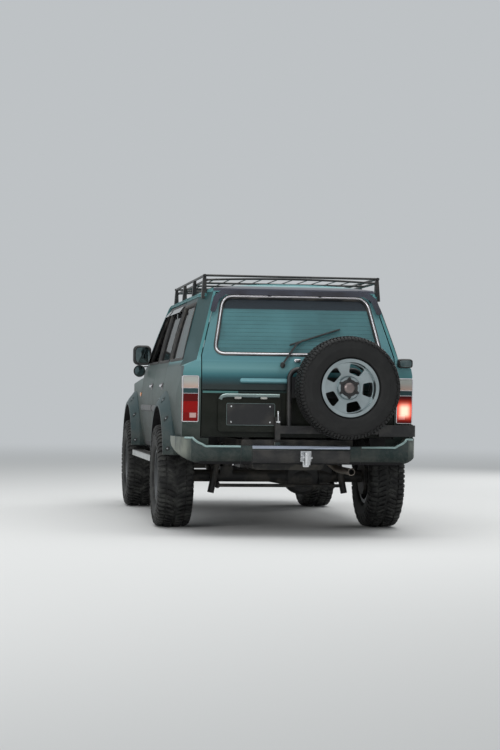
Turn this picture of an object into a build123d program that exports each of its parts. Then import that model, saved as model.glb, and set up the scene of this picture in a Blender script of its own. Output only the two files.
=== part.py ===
"""Lifted off-road 4x4 estate: a body on a ladder frame with two live axles.

The frame is millimetres, +Y forwards, +X to the vehicle's right, +Z up. The origin is on the ground
in the middle of the vehicle's outer box, which runs from the front bumper to the spare wheel.
"""

from build123d import *
from math import atan2, degrees, hypot
import os

os.makedirs("parts", exist_ok=True)

# Driving sizes
WHEELBASE = 2850
REAR_AXLE_Y = -1110
FRONT_AXLE_Y = REAR_AXLE_Y + WHEELBASE
WHEEL_X = 860
TYRE_R = 416
TYRE_WIDTH = 290
AXLE_Z = TYRE_R
SPARE_R = 396
SPARE_WIDTH = 272
RIM_FLANGE_R = 220
KINGPIN_X = 725

# Wheel arches are higher than the axles, because the body is lifted
ARCH_Z = AXLE_Z + 60
ARCH_R = 500
FLARE_R = 628
FLARE_OUT = 985
FLARE_ROOT = 862
FLARE_FOOT_Z = 600

# Body panels
WALL = 50
SKIN = 35
DOOR_GAP = 6
SILL_Z = 560
FLOOR_Z = 650
CARGO_FLOOR_Z = 780
BELT_Z = 1352
DRIP_Z = 1850
GATE_HALF = 755
GATE_GAP = 8
DOOR_SKIN = 22
LINING_STEP = 15
GLASS_IN = 12
GLASS = 6
PLATE_OUT = 12
GATE_LOW_Z = 745
GATE_SPLIT_Z = 1110
GATE_TOP_Z = 1872
REAR_FACE_Y = -2150
COWL_Y = 1040
FENDER_Y = 1046
BONNET_FRONT_Y = 2424
NOSE_HALF = 780
ROOF_SPLIT_Z = 1876
FLOOR_HALF = 690
FLOOR_STEP_Y = -640
POST_GAP = 9
POST_DEPTH = 30
WINDOW_CORNER = 28
GATE_GLASS_CORNER = 40
DEFLECTOR_OFF = 32
BONNET_HALF = 700

# Chassis: rail outline seen from the side and tables of what is fixed to it
RAIL_IN = 350
RAIL_OUT = 430
RAIL_SIDE = [
    (-2140, 605, 0),
    (-900, 605, 0),
    (-720, 500, 0),
    (1180, 500, 0),
    (1360, 560, 0),
    (2440, 560, 0),
    (2440, 690, 0),
    (1300, 690, 0),
    (1120, 630, 0),
    (-680, 630, 0),
    (-830, 735, 0),
    (-2140, 735, 0),
]
# y, low z, high z
CROSSMEMBERS = [(-2095, 605, 735), (-1440, 640, 730), (-600, 530, 625), (-70, 545, 625), (2040, 570, 650)]
BODY_MOUNTS = [(-2060, 735, CARGO_FLOOR_Z), (-1000, 735, CARGO_FLOOR_Z), (-300, 630, FLOOR_Z), (800, 630, FLOOR_Z)]

# Running gear
AXLE_TUBE_R = 50
DIFF_X = 215
DIFF_R = 152
REAR_COIL_X = 412
FRONT_COIL_X = 510
EXHAUST_X = 322
EXHAUST_Z = 412
DIFF_HALF = 82
HUB_FACE = WHEEL_X + 8
REAR_TUBE = HUB_FACE - 148
BRAKE_R = 150
BRAKE_WIDTH = 22
COIL_LOW_Z = 492
PIN_R = 13
TIE_REACH = 150
TIE_PIN_R = 10
TIE_Z = 372
APRON_X = 475

# Bumpers from above, right half: x, y, bow
REAR_BUMPER_PLAN = [
    (0, -2305, 0),
    (660, -2300, 4),
    (838, -2262, 14),
    (912, -2150, 12),
    (947, -1800, 2),
    (905, -1765, 0),
    (0, -1765, 0),
]
# Rear bumper from the side, y, z, bow, and the right half of it from behind, x, z, bow
REAR_BUMPER_SIDE = [
    (-2262, 552, 0),
    (-2180, 552, 0),
    (-1800, 716, 0),
    (-1765, 754, 0),
    (-2240, 754, 5),
    (-2292, 712, 6),
    (-2305, 640, 9),
]
REAR_BUMPER_FACE = [
    (0, 552, 0),
    (760, 552, 6),
    (880, 592, 12),
    (950, 690, 0),
    (950, 754, 0),
    (826, 752, -8),
    (752, 704, -7),
    (704, 690, 0),
    (0, 690, 0),
]
FRONT_BUMPER_PLAN = [(0, 2245, 0), (960, 2245, 0), (950, 2420, 16), (800, 2522, 8), (0, 2545, 0)]

# Roof rack
RACK_TOP_Z = 2018
RACK_TUBE_R = 10
RACK_HALF = 690
RACK_LOW_HALF = 672
RACK_LOW_Z = 1972
RACK_CROWN_Z = 2000
RACK_REAR_Y = -1800
RACK_FRONT_Y = 230
RACK_BARS = 4

# Seats seen from the side: y, z, bow
SEAT_X = 410
SEAT_CUSHION = [(-60, 860, 0), (415, 860, 0), (425, 950, 10), (-60, 935, 0)]
SEAT_BACK = [(-60, 900, 0), (60, 900, 0), (-50, 1540, 6), (-170, 1540, 0)]
HEAD_REST = [(-160, 1540, 0), (-62, 1540, 0), (-90, 1720, 0), (-180, 1720, 0)]
BENCH_CUSHION = [(-800, 860, 0), (-350, 860, 0), (-330, 980, 10), (-800, 950, 0)]
BENCH_BACK = [(-880, 880, 0), (-750, 880, 0), (-815, 1440, 6), (-935, 1440, 0)]

# Spare wheel and its carrier
HINGE_X = 878
HINGE_Y = -2190
HINGE_PIN_R = 15
CARRIER_FACE_Y = -2172
HOOP_LEFT = -79
HOOP_RIGHT = 480
HOOP_TOP = 1294
HOOP_TUBE_R = 20
HOOP_BEND = 70
SPARE_TURN = -22
SPARE_X = 332
SPARE_Z = 1137
SPARE_Y = -2389
DISC_X = 30
SPARE_FACE_Y = SPARE_Y - DISC_X + 14

# Wheel sections
BEAD_R = 203.3
BEAD_HALF = 104
RIM_HALF = 116
RIM_BARREL_R = 203
HUB_BORE_R = 54

# Outlines: each row is a corner and how far the edge after it bows outwards
# Cab seen from the right: y, z, bow
CAB_SIDE = [
    (-2122, 690, 0),
    (-1560, 600, 0),
    (-1500, SILL_Z, 0),
    (COWL_Y, SILL_Z, 0),
    (COWL_Y, 1312, 6),
    (412, 1905, 6),
    (300, 1952, 4),
    (-1770, 1956, 12),
    (-1905, 1902, 6),
    (-2142, 1330, 4),
    (REAR_FACE_Y, 1110, 2),
]
# Cab cut across, right half: x, z, bow
CAB_SECTION = [
    (0, SILL_Z, 0),
    (820, SILL_Z, 0),
    (868, 612, 4),
    (908, 850, 4),
    (913, 1080, 3),
    (884, 1290, 2),
    (858, 1345, 7),
    (716, DRIP_Z, 13),
    (640, 1904, 11),
    (0, 1948, 0),
]
# Above the belt each rear corner is cut off by a slanting face and a ledge below it. Each plane is
# given by a point of it and by its outward direction
CORNER_POINT = (789, -2136, 1345)
CORNER_OUT = (1, -0.24, 0.38)
LEDGE_POINT = (835, -2140, 1318)
LEDGE_OUT = (0.5, 0, 1)
# Cab from above, right half: x, y, bow
CAB_PLAN = [(0, -2152, 0), (893, -2152, 0), (914, -1850, 0), (914, 1100, 0), (0, 1100, 0)]
# Front end
FRONT_SIDE = [
    (846, 592, 0),
    (1560, 592, 0),
    (2410, 640, 0),
    (2462, 760, 2),
    (2468, 1085, 14),
    (2412, 1168, 18),
    (846, 1328, 0),
]
FRONT_SECTION = [
    (0, 560, 0),
    (840, 560, 0),
    (876, 640, 4),
    (904, 850, 4),
    (908, 1050, 18),
    (842, 1212, 14),
    (730, 1268, 9),
    (0, 1312, 0),
]
FRONT_PLAN = [(0, 800, 0), (914, 800, 0), (910, 1500, 4), (868, 2330, 22), (770, 2462, 12), (0, 2492, 0)]

# Openings in the right side, front doors and rear doors sharing one pillar: y, z, bow
FRONT_DOOR = [
    (-DOOR_GAP / 2, 586, 0),
    (994, 586, 0),
    (994, 1262, 6),
    (890, 1345, 0),
    (352, 1842, 0),
    (-DOOR_GAP / 2, 1842, 0),
]
REAR_DOOR = [
    (-885, 586, 0),
    (DOOR_GAP / 2, 586, 0),
    (DOOR_GAP / 2, 1842, 0),
    (-855, 1842, 0),
    (-885, BELT_Z, 0),
]
FRONT_WINDOW = [(54, BELT_Z, 0), (808, BELT_Z, 0), (338, 1796, 0), (54, 1796, 0)]
REAR_WINDOW = [(-832, BELT_Z, 0), (-52, BELT_Z, 0), (-52, 1796, 0), (-802, 1796, 0)]
QUARTER_WINDOW = [(-1824, BELT_Z, 0), (-938, BELT_Z, 0), (-912, 1796, 0), (-1640, 1796, 0)]
# Openings seen from behind or in front, right half: x, z, bow
UPPER_GATE = [
    (0, GATE_SPLIT_Z - GATE_GAP / 2, 0),
    (GATE_HALF, GATE_SPLIT_Z - GATE_GAP / 2, 0),
    (GATE_HALF, 1376, 0),
    (620, GATE_TOP_Z, 0),
    (0, GATE_TOP_Z, 0),
]
LOWER_GATE = [
    (0, GATE_LOW_Z, 0),
    (GATE_HALF, GATE_LOW_Z, 0),
    (GATE_HALF, GATE_SPLIT_Z + GATE_GAP / 2, 0),
    (0, GATE_SPLIT_Z + GATE_GAP / 2, 0),
]
GATE_GLASS = [(0, 1390, 0), (652, 1390, 0), (566, 1838, 0), (0, 1838, 0)]
WINDSCREEN = [(0, 1352, 0), (772, 1352, 0), (642, 1846, 0), (0, 1846, 0)]
# Wind deflector on the slope of the rear window: x, z
DEFLECTOR = [
    (-676, 1700),
    (-634, 1700),
    (-600, 1800),
    (-545, 1838),
    (545, 1838),
    (600, 1800),
    (634, 1700),
    (676, 1700),
    (642, 1824),
    (575, 1874),
    (-575, 1874),
    (-642, 1824),
]
DEFLECTOR_BEND = 14
DEFLECTOR_FEET = [(-598, 1822), (598, 1822), (-200, 1855), (200, 1855)]

# How far a cutting prism reaches past the body
FAR_X = 1100
FAR_REAR = -2300
FAR_FRONT = 2700


def trace(rows):
    """Draw a closed outline, taken anticlockwise, whose edges bow outwards."""
    for (x0, y0, bow), (x1, y1, _) in zip(rows, rows[1:] + rows[:1]):
        if bow == 0:
            Line((x0, y0), (x1, y1))
            continue
        length = hypot(x1 - x0, y1 - y0)
        middle = (
            (x0 + x1) / 2 + bow * (y1 - y0) / length,
            (y0 + y1) / 2 - bow * (x1 - x0) / length,
        )
        ThreePointArc((x0, y0), middle, (x1, y1))


def mitred(rows, inset):
    """The rows of a whole outline moved inwards by the inset, with sharp corners kept."""
    corners = []
    for before, (x, y, _), after in zip(rows[-1:] + rows[:-1], rows, rows[1:] + rows[:1]):
        run_in = Vector(x - before[0], y - before[1]).normalized()
        run_out = Vector(after[0] - x, after[1] - y).normalized()
        normal_in = Vector(-run_in.Y, run_in.X)
        normal_out = Vector(-run_out.Y, run_out.X)
        share = inset / (1 + normal_in.dot(normal_out))
        both = normal_in + normal_out
        corners.append((x + share * both.X, y + share * both.Y))
    moved = []
    for row, row_end, corner, end in zip(rows, rows[1:] + rows[:1], corners, corners[1:] + corners[:1]):
        old_length = hypot(row_end[0] - row[0], row_end[1] - row[1])
        new_length = hypot(end[0] - corner[0], end[1] - corner[1])
        moved.append((corner[0], corner[1], row[2] * (new_length / old_length) ** 2))
    return moved


def mirrored(rows):
    """The whole outline that belongs to the rows of a right half."""
    last = len(rows) - 1
    whole = rows[:-1] + [(rows[last][0], rows[last][1], rows[last - 1][2])]
    for i in range(last - 1, 0, -1):
        whole.append((-rows[i][0], rows[i][1], rows[i - 1][2]))
    return whole


def outline(rows, inset=0.0, corner=0.0):
    """A face from the rows of a whole outline."""
    with BuildSketch() as face:
        with BuildLine():
            trace(mitred(rows, inset) if inset else rows)
        make_face()
        if corner:
            fillet(face.vertices(), corner)
    return face.sketch


def form(side, section, plan, inset=0.0):
    """The solid that has one outline from the side, one across and one from above."""
    with BuildPart() as solid:
        with BuildSketch(Plane.YZ):
            add(outline(side, inset))
        extrude(amount=FAR_X, both=True)
        with BuildSketch(Plane.XZ):
            add(outline(mirrored(section), inset))
        extrude(amount=FAR_FRONT, both=True, mode=Mode.INTERSECT)
        with BuildSketch(Plane.XY):
            add(outline(mirrored(plan), inset))
        extrude(amount=FAR_FRONT, both=True, mode=Mode.INTERSECT)
    return solid.part


def beyond(point, out, inset):
    """The space beyond a plane that has been moved inwards."""
    way = Vector(*out).normalized()
    with BuildPart() as solid:
        with BuildSketch(Plane(origin=Vector(*point) - way * inset, z_dir=way)):
            Rectangle(3000, 3000)
        extrude(amount=1500)
    return solid.part


def cab(inset):
    """The cab as one solid, its walls moved inwards and its upper rear corners cut off."""
    corner = shared(beyond(CORNER_POINT, CORNER_OUT, inset), beyond(LEDGE_POINT, LEDGE_OUT, inset))
    return less(form(CAB_SIDE, CAB_SECTION, CAB_PLAN, inset), pair(corner))


def side_prism(rows, low_x, high_x, inset=0.0, corner=0.0):
    """An outline seen from the side, pushed through from low_x to high_x."""
    with BuildPart() as solid:
        with BuildSketch(Plane.YZ.offset(low_x)):
            add(outline(rows, inset, corner))
        extrude(amount=high_x - low_x)
    return solid.part


def end_prism(rows, low_y, high_y, inset=0.0, corner=0.0):
    """A right half outline seen from behind, pushed through from low_y to high_y."""
    with BuildPart() as solid:
        with BuildSketch(Plane.XZ.offset(-high_y)):
            add(outline(mirrored(rows), inset, corner))
        extrude(amount=high_y - low_y)
    return solid.part


def block(low, high):
    """A plain box between two corners."""
    size = [b - a for a, b in zip(low, high)]
    centre = [(a + b) / 2 for a, b in zip(low, high)]
    with BuildPart() as solid:
        with Locations(tuple(centre)):
            Box(*size)
    return solid.part


def drum(y, z, radius, low_x, high_x):
    """A cylinder that lies across the vehicle."""
    with BuildPart() as solid:
        with BuildSketch(Plane.YZ.offset(low_x)):
            with Locations((y, z)):
                Circle(radius)
        extrude(amount=high_x - low_x)
    return solid.part


def rod(start, end, radius, bore=0.0):
    """A round bar or tube between two points."""
    way = Vector(*end) - Vector(*start)
    with BuildPart() as solid:
        with BuildSketch(Plane(origin=start, z_dir=way)):
            Circle(radius)
            if bore:
                Circle(bore, mode=Mode.SUBTRACT)
        extrude(amount=way.length)
    return solid.part


def bar(plane, start, end, width, thickness):
    """A round-ended flat bar that lies on a plane, between two points of the plane."""
    run, rise = end[0] - start[0], end[1] - start[1]
    with BuildPart() as solid:
        with BuildSketch(plane):
            with Locations(((start[0] + end[0]) / 2, (start[1] + end[1]) / 2)):
                SlotCenterToCenter(hypot(run, rise), width, degrees(atan2(rise, run)))
        extrude(amount=thickness)
    return solid.part


def joined(*solids):
    """The solids as one shape."""
    with BuildPart() as result:
        for solid in solids:
            add(solid)
    return result.part


def less(base, *tools):
    """The base with every tool cut away."""
    with BuildPart() as result:
        add(base)
        for tool in tools:
            add(tool, mode=Mode.SUBTRACT)
    return result.part


def shared(first, second):
    """The space that is inside both shapes."""
    with BuildPart() as result:
        add(first)
        add(second, mode=Mode.INTERSECT)
    return result.part


def pair(solid):
    """A right-hand solid with its mirror image on the left."""
    with BuildPart() as result:
        add(solid)
        mirror(about=Plane.YZ)
    return result.part


def save(piece, name):
    """Write one sub-part."""
    piece.label = name
    export_step(piece, f"parts/{name}.step")


# Layers of the cab wall: outer skin, lining, and the glass between them
cab_outside, cab_middle, cab_inside, cab_clear, post_inside = (
    cab(inset) for inset in (0, DOOR_SKIN, WALL, WALL + POST_GAP, WALL + POST_GAP + POST_DEPTH)
)
skin_band = less(cab_outside, cab_middle)
lining_band = less(cab_middle, cab_inside)
glass_band = less(cab(GLASS_IN), cab(GLASS_IN + GLASS))

# Cab shell: walls, floor, raised cargo floor and wheelhouses, before its openings are cut
floor_low = (-FAR_X, FAR_REAR, 500)
cargo_floor = CARGO_FLOOR_Z + WALL
shell = less(
    cab_outside,
    block((-FLOOR_HALF, FAR_REAR, 500), (FLOOR_HALF, FAR_FRONT, FLOOR_Z)),
    block((-FLOOR_HALF, FAR_REAR, 500), (FLOOR_HALF, FLOOR_STEP_Y, CARGO_FLOOR_Z)),
    pair(drum(REAR_AXLE_Y, ARCH_Z, ARCH_R, 560, FAR_X)),
    less(
        cab_inside,
        block(floor_low, (FAR_X, FAR_FRONT, FLOOR_Z + WALL)),
        block(floor_low, (FAR_X, FLOOR_STEP_Y + WALL, cargo_floor)),
        pair(drum(REAR_AXLE_Y, ARCH_Z, ARCH_R + 30, 530, FAR_X)),
    ),
)

# Doors: an outer skin that fills the opening and a smaller lining behind it
rear_arch = drum(REAR_AXLE_Y, ARCH_Z, ARCH_R, 500, FAR_X)
sill_inside = block((0, -1600, 500), (806, FAR_FRONT, FLOOR_Z))


def door(rows, window):
    """One right-hand side door with its window hole."""
    return less(
        joined(
            shared(side_prism(rows, 600, FAR_X, DOOR_GAP), skin_band),
            shared(side_prism(rows, 600, FAR_X, LINING_STEP), lining_band),
        ),
        side_prism(window, 600, FAR_X, 0, WINDOW_CORNER),
        rear_arch,
        sill_inside,
    )


def pane(rows):
    """The glass of one right-hand side window."""
    return shared(side_prism(rows, 600, FAR_X, 0, WINDOW_CORNER), glass_band)


# Flares: wide lips round the wheel arches, full at the opening and thin at the outer edge
def flare(axle_y, body):
    """One right-hand arch flare that stands on the outside of the body."""
    with BuildPart() as lip:
        with BuildSketch(Plane.YZ.offset(FLARE_ROOT)):
            with Locations((axle_y, ARCH_Z)):
                Circle(FLARE_R)
                Circle(ARCH_R, mode=Mode.SUBTRACT)
        extrude(amount=FLARE_OUT - FLARE_ROOT)
        outer_edge = lip.edges().filter_by(GeomType.CIRCLE).group_by(Axis.X)[-1].sort_by(SortBy.RADIUS)[-1]
        chamfer(outer_edge, 70, 100)
        add(body, mode=Mode.SUBTRACT)
    below_foot = block((0, axle_y - 700, -300), (FAR_X, axle_y + 700, FLARE_FOOT_Z))
    return less(lip.part, below_foot)


front_outside = less(
    form(FRONT_SIDE, FRONT_SECTION, FRONT_PLAN),
    block((-FAR_X, 0, 400), (FAR_X, FENDER_Y, 1500)),
)
front_inside = form(FRONT_SIDE, FRONT_SECTION, FRONT_PLAN, SKIN)
rear_flare = flare(REAR_AXLE_Y, cab_outside)
front_flare = flare(FRONT_AXLE_Y, front_outside)
door_edge_y = REAR_DOOR[0][0]
ahead_of_edge = block((800, door_edge_y, 400), (FAR_X, 0, 1300))
behind_edge = block((800, FAR_REAR, 400), (FAR_X, door_edge_y + DOOR_GAP, 1300))
save(pair(joined(less(rear_flare, ahead_of_edge), front_flare)), "fender_flares")

door_pieces = (
    ("front_door", door(FRONT_DOOR, FRONT_WINDOW)),
    ("rear_door", joined(door(REAR_DOOR, REAR_WINDOW), less(rear_flare, behind_edge))),
    ("front_door_glass", pane(FRONT_WINDOW)),
    ("rear_door_glass", pane(REAR_WINDOW)),
)
for piece_name, piece in door_pieces:
    save(mirror(piece, about=Plane.YZ), f"{piece_name}_left")
    save(piece, f"{piece_name}_right")

# Gates: the rear wall inside its opening, in an upper and a lower half, each skin and lining
rear_zone = less(
    block((-FAR_X, FAR_REAR, 400), (FAR_X, -1850, 2100)),
    block((-FAR_X, REAR_FACE_Y + WALL + 0.5, 400), (FAR_X, 0, 1000)),
)
rear_skin = shared(skin_band, rear_zone)
rear_lining = shared(lining_band, rear_zone)


def gate(rows):
    """One gate without its window hole."""
    return joined(
        shared(end_prism(rows, FAR_REAR, -1700, GATE_GAP), rear_skin),
        shared(end_prism(rows, FAR_REAR, -1700, LINING_STEP), rear_lining),
    )


glass_hole = end_prism(GATE_GLASS, FAR_REAR, -1700, 0, GATE_GLASS_CORNER)
save(less(gate(UPPER_GATE), glass_hole), "upper_gate")
save(gate(LOWER_GATE), "lower_gate")
save(shared(glass_hole, glass_band), "rear_glass")
with BuildPart() as plate_panel:
    add(block((-623, REAR_FACE_Y - PLATE_OUT, 795), (-141, -2100, 1072)))
    fillet(plate_panel.edges().filter_by(Axis.Y), 24)
    add(cab_outside, mode=Mode.SUBTRACT)
save(plate_panel.part, "plate_panel")

# Wiper and wind deflector lie on the slope of the rear window
slope_foot = Vector(0, CAB_SIDE[-2][0], CAB_SIDE[-2][1])
slope_head = Vector(0, CAB_SIDE[-3][0], CAB_SIDE[-3][1])
slope_way = (slope_head - slope_foot).normalized()
slope = Plane(origin=slope_foot, x_dir=(1, 0, 0), z_dir=(0, -slope_way.Z, slope_way.Y))


def on_slope(x, z):
    """The point of the rear window's slope that is at x and at height z."""
    return (x, (z - slope_foot.Z) / slope_way.Z)


wiper_pivot = on_slope(-131, 1304)
wiper_elbow = on_slope(-13, 1462)
with BuildPart() as rear_wiper:
    with BuildSketch(slope):
        with Locations(wiper_pivot):
            Circle(17)
    extrude(amount=30)
    add(bar(slope.offset(18), wiper_pivot, wiper_elbow, 15, 10))
    add(bar(slope.offset(5), on_slope(-61, 1460), on_slope(333, 1587), 10, 14))
    add(bar(slope.offset(10), wiper_elbow, on_slope(40, 1493), 12, 18))
save(rear_wiper.part, "rear_wiper")

with BuildPart() as wind_deflector:
    with BuildSketch(slope.offset(DEFLECTOR_OFF)) as deflector_face:
        with BuildLine():
            Polyline(*[on_slope(x, z) for x, z in DEFLECTOR], close=True)
        make_face()
        fillet(deflector_face.vertices(), DEFLECTOR_BEND)
    extrude(amount=5)
    with BuildSketch(slope):
        with Locations(*[on_slope(x, z) for x, z in DEFLECTOR_FEET]):
            Rectangle(22, 22)
    extrude(amount=DEFLECTOR_OFF)
    add(cab_outside, mode=Mode.SUBTRACT)
save(wind_deflector.part, "wind_deflector")

# Body shell with every opening cut, door pillars behind the doors, and the roof as its own panel
door_holes = less(
    shared(
        joined(side_prism(FRONT_DOOR, 600, FAR_X), side_prism(REAR_DOOR, 600, FAR_X)),
        less(cab_outside, cab_clear),
    ),
    sill_inside,
)
posts = pair(block((500, -45, FLOOR_Z + 10), (FAR_X, 45, 1990)))
post_heads = block((-FAR_X, -100, DRIP_Z - 4), (FAR_X, 100, 1990))
pillars = joined(
    shared(posts, less(cab_clear, post_inside)),
    shared(shared(posts, post_heads), less(cab_inside, post_inside)),
)
rear_lamp = block((775, FAR_REAR, 871), (FAR_X, REAR_FACE_Y + WALL + 4, 1214))
gate_hole = less(
    joined(end_prism(UPPER_GATE, FAR_REAR, -1700), end_prism(LOWER_GATE, FAR_REAR, -1700)),
    block((-FAR_X, REAR_FACE_Y + WALL + 6, 400), (FAR_X, 0, cargo_floor + 6)),
)
windscreen_hole = end_prism(WINDSCREEN, 300, 1300, 0, 50)
whole_shell = joined(
    less(
        shell,
        pair(door_holes),
        pair(side_prism(QUARTER_WINDOW, 600, FAR_X, 0, WINDOW_CORNER)),
        pair(rear_lamp),
        windscreen_hole,
        gate_hole,
    ),
    pillars,
)
save(less(whole_shell, block((-FAR_X, FAR_REAR, 400), (FAR_X, FAR_FRONT, ROOF_SPLIT_Z))), "roof_panel")
save(less(whole_shell, block((-FAR_X, FAR_REAR, ROOF_SPLIT_Z), (FAR_X, FAR_FRONT, 2100))), "body_shell")
save(joined(shared(windscreen_hole, glass_band), pair(pane(QUARTER_WINDOW))), "fixed_glass")
save(less(shared(pair(rear_lamp), cab_outside), cab_inside), "rear_lamps")

# Front end: outer fenders with inner aprons, the nose panel with its lamps and grille, the bonnet
front_skin = less(
    front_outside,
    front_inside,
    block((-840, 900, 400), (840, FAR_FRONT, 700)),
    pair(drum(FRONT_AXLE_Y, ARCH_Z, ARCH_R, 400, FAR_X)),
)
bonnet_hole = block((-BONNET_HALF, 900, 1120), (BONNET_HALF, BONNET_FRONT_Y, 1500))
bonnet_box = block(
    (-BONNET_HALF + DOOR_GAP, FENDER_Y + 2, 1120),
    (BONNET_HALF - DOOR_GAP, BONNET_FRONT_Y - DOOR_GAP, 1500),
)
nose = block((-NOSE_HALF, 2380, 500), (NOSE_HALF, FAR_FRONT, 1300))
lamp_boxes = pair(block((520, 2300, 890), (760, FAR_FRONT, 1050)))
save(shared(front_skin, bonnet_box), "bonnet")
save(shared(front_skin, lamp_boxes), "headlamps")
grille_box = block((-430, 2300, 890), (430, FAR_FRONT, 1060))
save(less(shared(front_skin, nose), bonnet_hole, lamp_boxes, grille_box), "front_panel")
with BuildPart() as grille:
    with Locations((0, 2420, 975)):
        Box(860, 80, 170)
        with GridLocations(207, 1, 4, 1):
            Box(185, 100, 146, mode=Mode.SUBTRACT)
    for slat_z in (935, 975, 1015):
        with Locations((0, 2430, slat_z)):
            Box(840, 30, 12)
    add(front_outside, mode=Mode.INTERSECT)
save(grille.part, "grille")
apron = less(
    joined(
        drum(FRONT_AXLE_Y, ARCH_Z, ARCH_R + 15, APRON_X, 890),
        block((APRON_X - 20, FENDER_Y + 4, 700), (APRON_X, 2380, 1250)),
    ),
    drum(FRONT_AXLE_Y, ARCH_Z, ARCH_R, APRON_X, FAR_X),
    block((400, 1000, 0), (FAR_X, 2600, 700)),
    block((400, 1570, 600), (FAR_X, 1850, 850)),
)
save(joined(less(front_skin, nose, bonnet_hole), pair(shared(apron, front_inside))), "front_fenders")

# Ladder frame: two rails that rise over the rear axle, crossmembers, body mounts and spring towers
with BuildPart() as chassis_frame:
    add(pair(side_prism(RAIL_SIDE, RAIL_IN, RAIL_OUT)))
    for y, low_z, high_z in CROSSMEMBERS:
        add(block((-RAIL_IN, y - 45, low_z), (RAIL_IN, y + 45, high_z)))
    for x in (-390, 390):
        for y, low_z, high_z in BODY_MOUNTS:
            with Locations((x, y, (low_z + high_z) / 2)):
                Cylinder(32, high_z - low_z)
    add(pair(block((RAIL_OUT, 1670, 800), (585, 1810, 822))))
    add(pair(block((RAIL_OUT, 1660, 640), (RAIL_OUT + 14, 1820, 822))))
save(chassis_frame.part, "chassis_frame")

# Axles: a tube with an offset differential; the front one ends in steering yokes
def differential(y, nose_y):
    """The bulged casing in the middle of an axle, with its pinion nose."""
    with BuildPart() as casing:
        with BuildSketch(Plane.XZ.offset(-(y + DIFF_HALF))):
            with Locations((DIFF_X, AXLE_Z)):
                Circle(DIFF_R)
        extrude(amount=2 * DIFF_HALF)
        chamfer(casing.edges().filter_by(GeomType.CIRCLE), 26)
        for reach in (-1, 1):
            with BuildSketch(Plane.YZ.offset(DIFF_X)):
                with Locations((y, AXLE_Z)):
                    Circle(96)
            with BuildSketch(Plane.YZ.offset(DIFF_X + reach * 270)):
                with Locations((y, AXLE_Z)):
                    Circle(AXLE_TUBE_R)
            loft()
        add(rod((DIFF_X, y, AXLE_Z), (DIFF_X, nose_y, AXLE_Z), 62))
    return casing.part


with BuildPart() as rear_axle:
    add(rod((-REAR_TUBE, REAR_AXLE_Y, AXLE_Z), (REAR_TUBE, REAR_AXLE_Y, AXLE_Z), AXLE_TUBE_R))
    add(differential(REAR_AXLE_Y, REAR_AXLE_Y + 250))
    for side in (-1, 1):
        brake_end = (side * (REAR_TUBE + BRAKE_WIDTH), REAR_AXLE_Y, AXLE_Z)
        add(rod((side * REAR_TUBE, REAR_AXLE_Y, AXLE_Z), brake_end, BRAKE_R))
        add(rod(brake_end, (side * HUB_FACE, REAR_AXLE_Y, AXLE_Z), 72))
        x = side * REAR_COIL_X
        add(block((x - 50, REAR_AXLE_Y - 50, AXLE_Z), (x + 50, REAR_AXLE_Y + 50, COIL_LOW_Z)))
save(rear_axle.part, "rear_axle")

with BuildPart() as front_axle:
    add(rod((-600, FRONT_AXLE_Y, AXLE_Z), (600, FRONT_AXLE_Y, AXLE_Z), AXLE_TUBE_R))
    add(differential(FRONT_AXLE_Y, FRONT_AXLE_Y - 250))
    for side in (-1, 1):
        inner, outer = sorted((side * 600, side * 622))
        add(block((inner, FRONT_AXLE_Y - 45, 300), (outer, FRONT_AXLE_Y + 45, 532)))
        inner, outer = sorted((side * 600, side * KINGPIN_X))
        for low_z in (300, 510):
            add(block((inner, FRONT_AXLE_Y - 38, low_z), (outer, FRONT_AXLE_Y + 38, low_z + 22)))
            with Locations((side * KINGPIN_X, FRONT_AXLE_Y, low_z + 11)):
                Cylinder(38, 22)
        x = side * FRONT_COIL_X
        add(block((x - 55, FRONT_AXLE_Y - 55, AXLE_Z), (x + 55, FRONT_AXLE_Y + 55, COIL_LOW_Z)))
        with Locations((side * KINGPIN_X, FRONT_AXLE_Y, AXLE_Z)):
            Cylinder(PIN_R + 0.6, 400, mode=Mode.SUBTRACT)
save(front_axle.part, "front_axle")

# Steering knuckles with their hub spindles, and the tie rod that joins them ahead of the axle
with BuildPart() as knuckle:
    with Locations((KINGPIN_X, FRONT_AXLE_Y, AXLE_Z)):
        Cylinder(38, 178)
        Cylinder(PIN_R, 232)
    add(rod((KINGPIN_X, FRONT_AXLE_Y, AXLE_Z), (HUB_FACE - 62, FRONT_AXLE_Y, AXLE_Z), 46))
    add(rod((HUB_FACE - 62, FRONT_AXLE_Y, AXLE_Z), (HUB_FACE - 44, FRONT_AXLE_Y, AXLE_Z), BRAKE_R))
    add(rod((HUB_FACE - 44, FRONT_AXLE_Y, AXLE_Z), (HUB_FACE, FRONT_AXLE_Y, AXLE_Z), 72))
    add(block((KINGPIN_X - 17, FRONT_AXLE_Y, 392), (KINGPIN_X + 17, FRONT_AXLE_Y + TIE_REACH, 414)))
    with Locations((KINGPIN_X, FRONT_AXLE_Y + TIE_REACH, 403)):
        Cylinder(20, 22)
    with Locations((KINGPIN_X, FRONT_AXLE_Y + TIE_REACH, 376)):
        Cylinder(TIE_PIN_R, 36)
save(knuckle.part, "knuckle_right")
save(mirror(knuckle.part, about=Plane.YZ), "knuckle_left")

with BuildPart() as tie_rod:
    tie_y = FRONT_AXLE_Y + TIE_REACH
    add(rod((-KINGPIN_X, tie_y, TIE_Z), (KINGPIN_X, tie_y, TIE_Z), 14))
    for side, bore in ((-1, TIE_PIN_R + 0.6), (1, TIE_PIN_R + 5.5)):
        with Locations((side * KINGPIN_X, tie_y, TIE_Z)):
            Cylinder(24, 20)
            Cylinder(bore, 60, mode=Mode.SUBTRACT)
save(tie_rod.part, "tie_rod")

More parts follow.
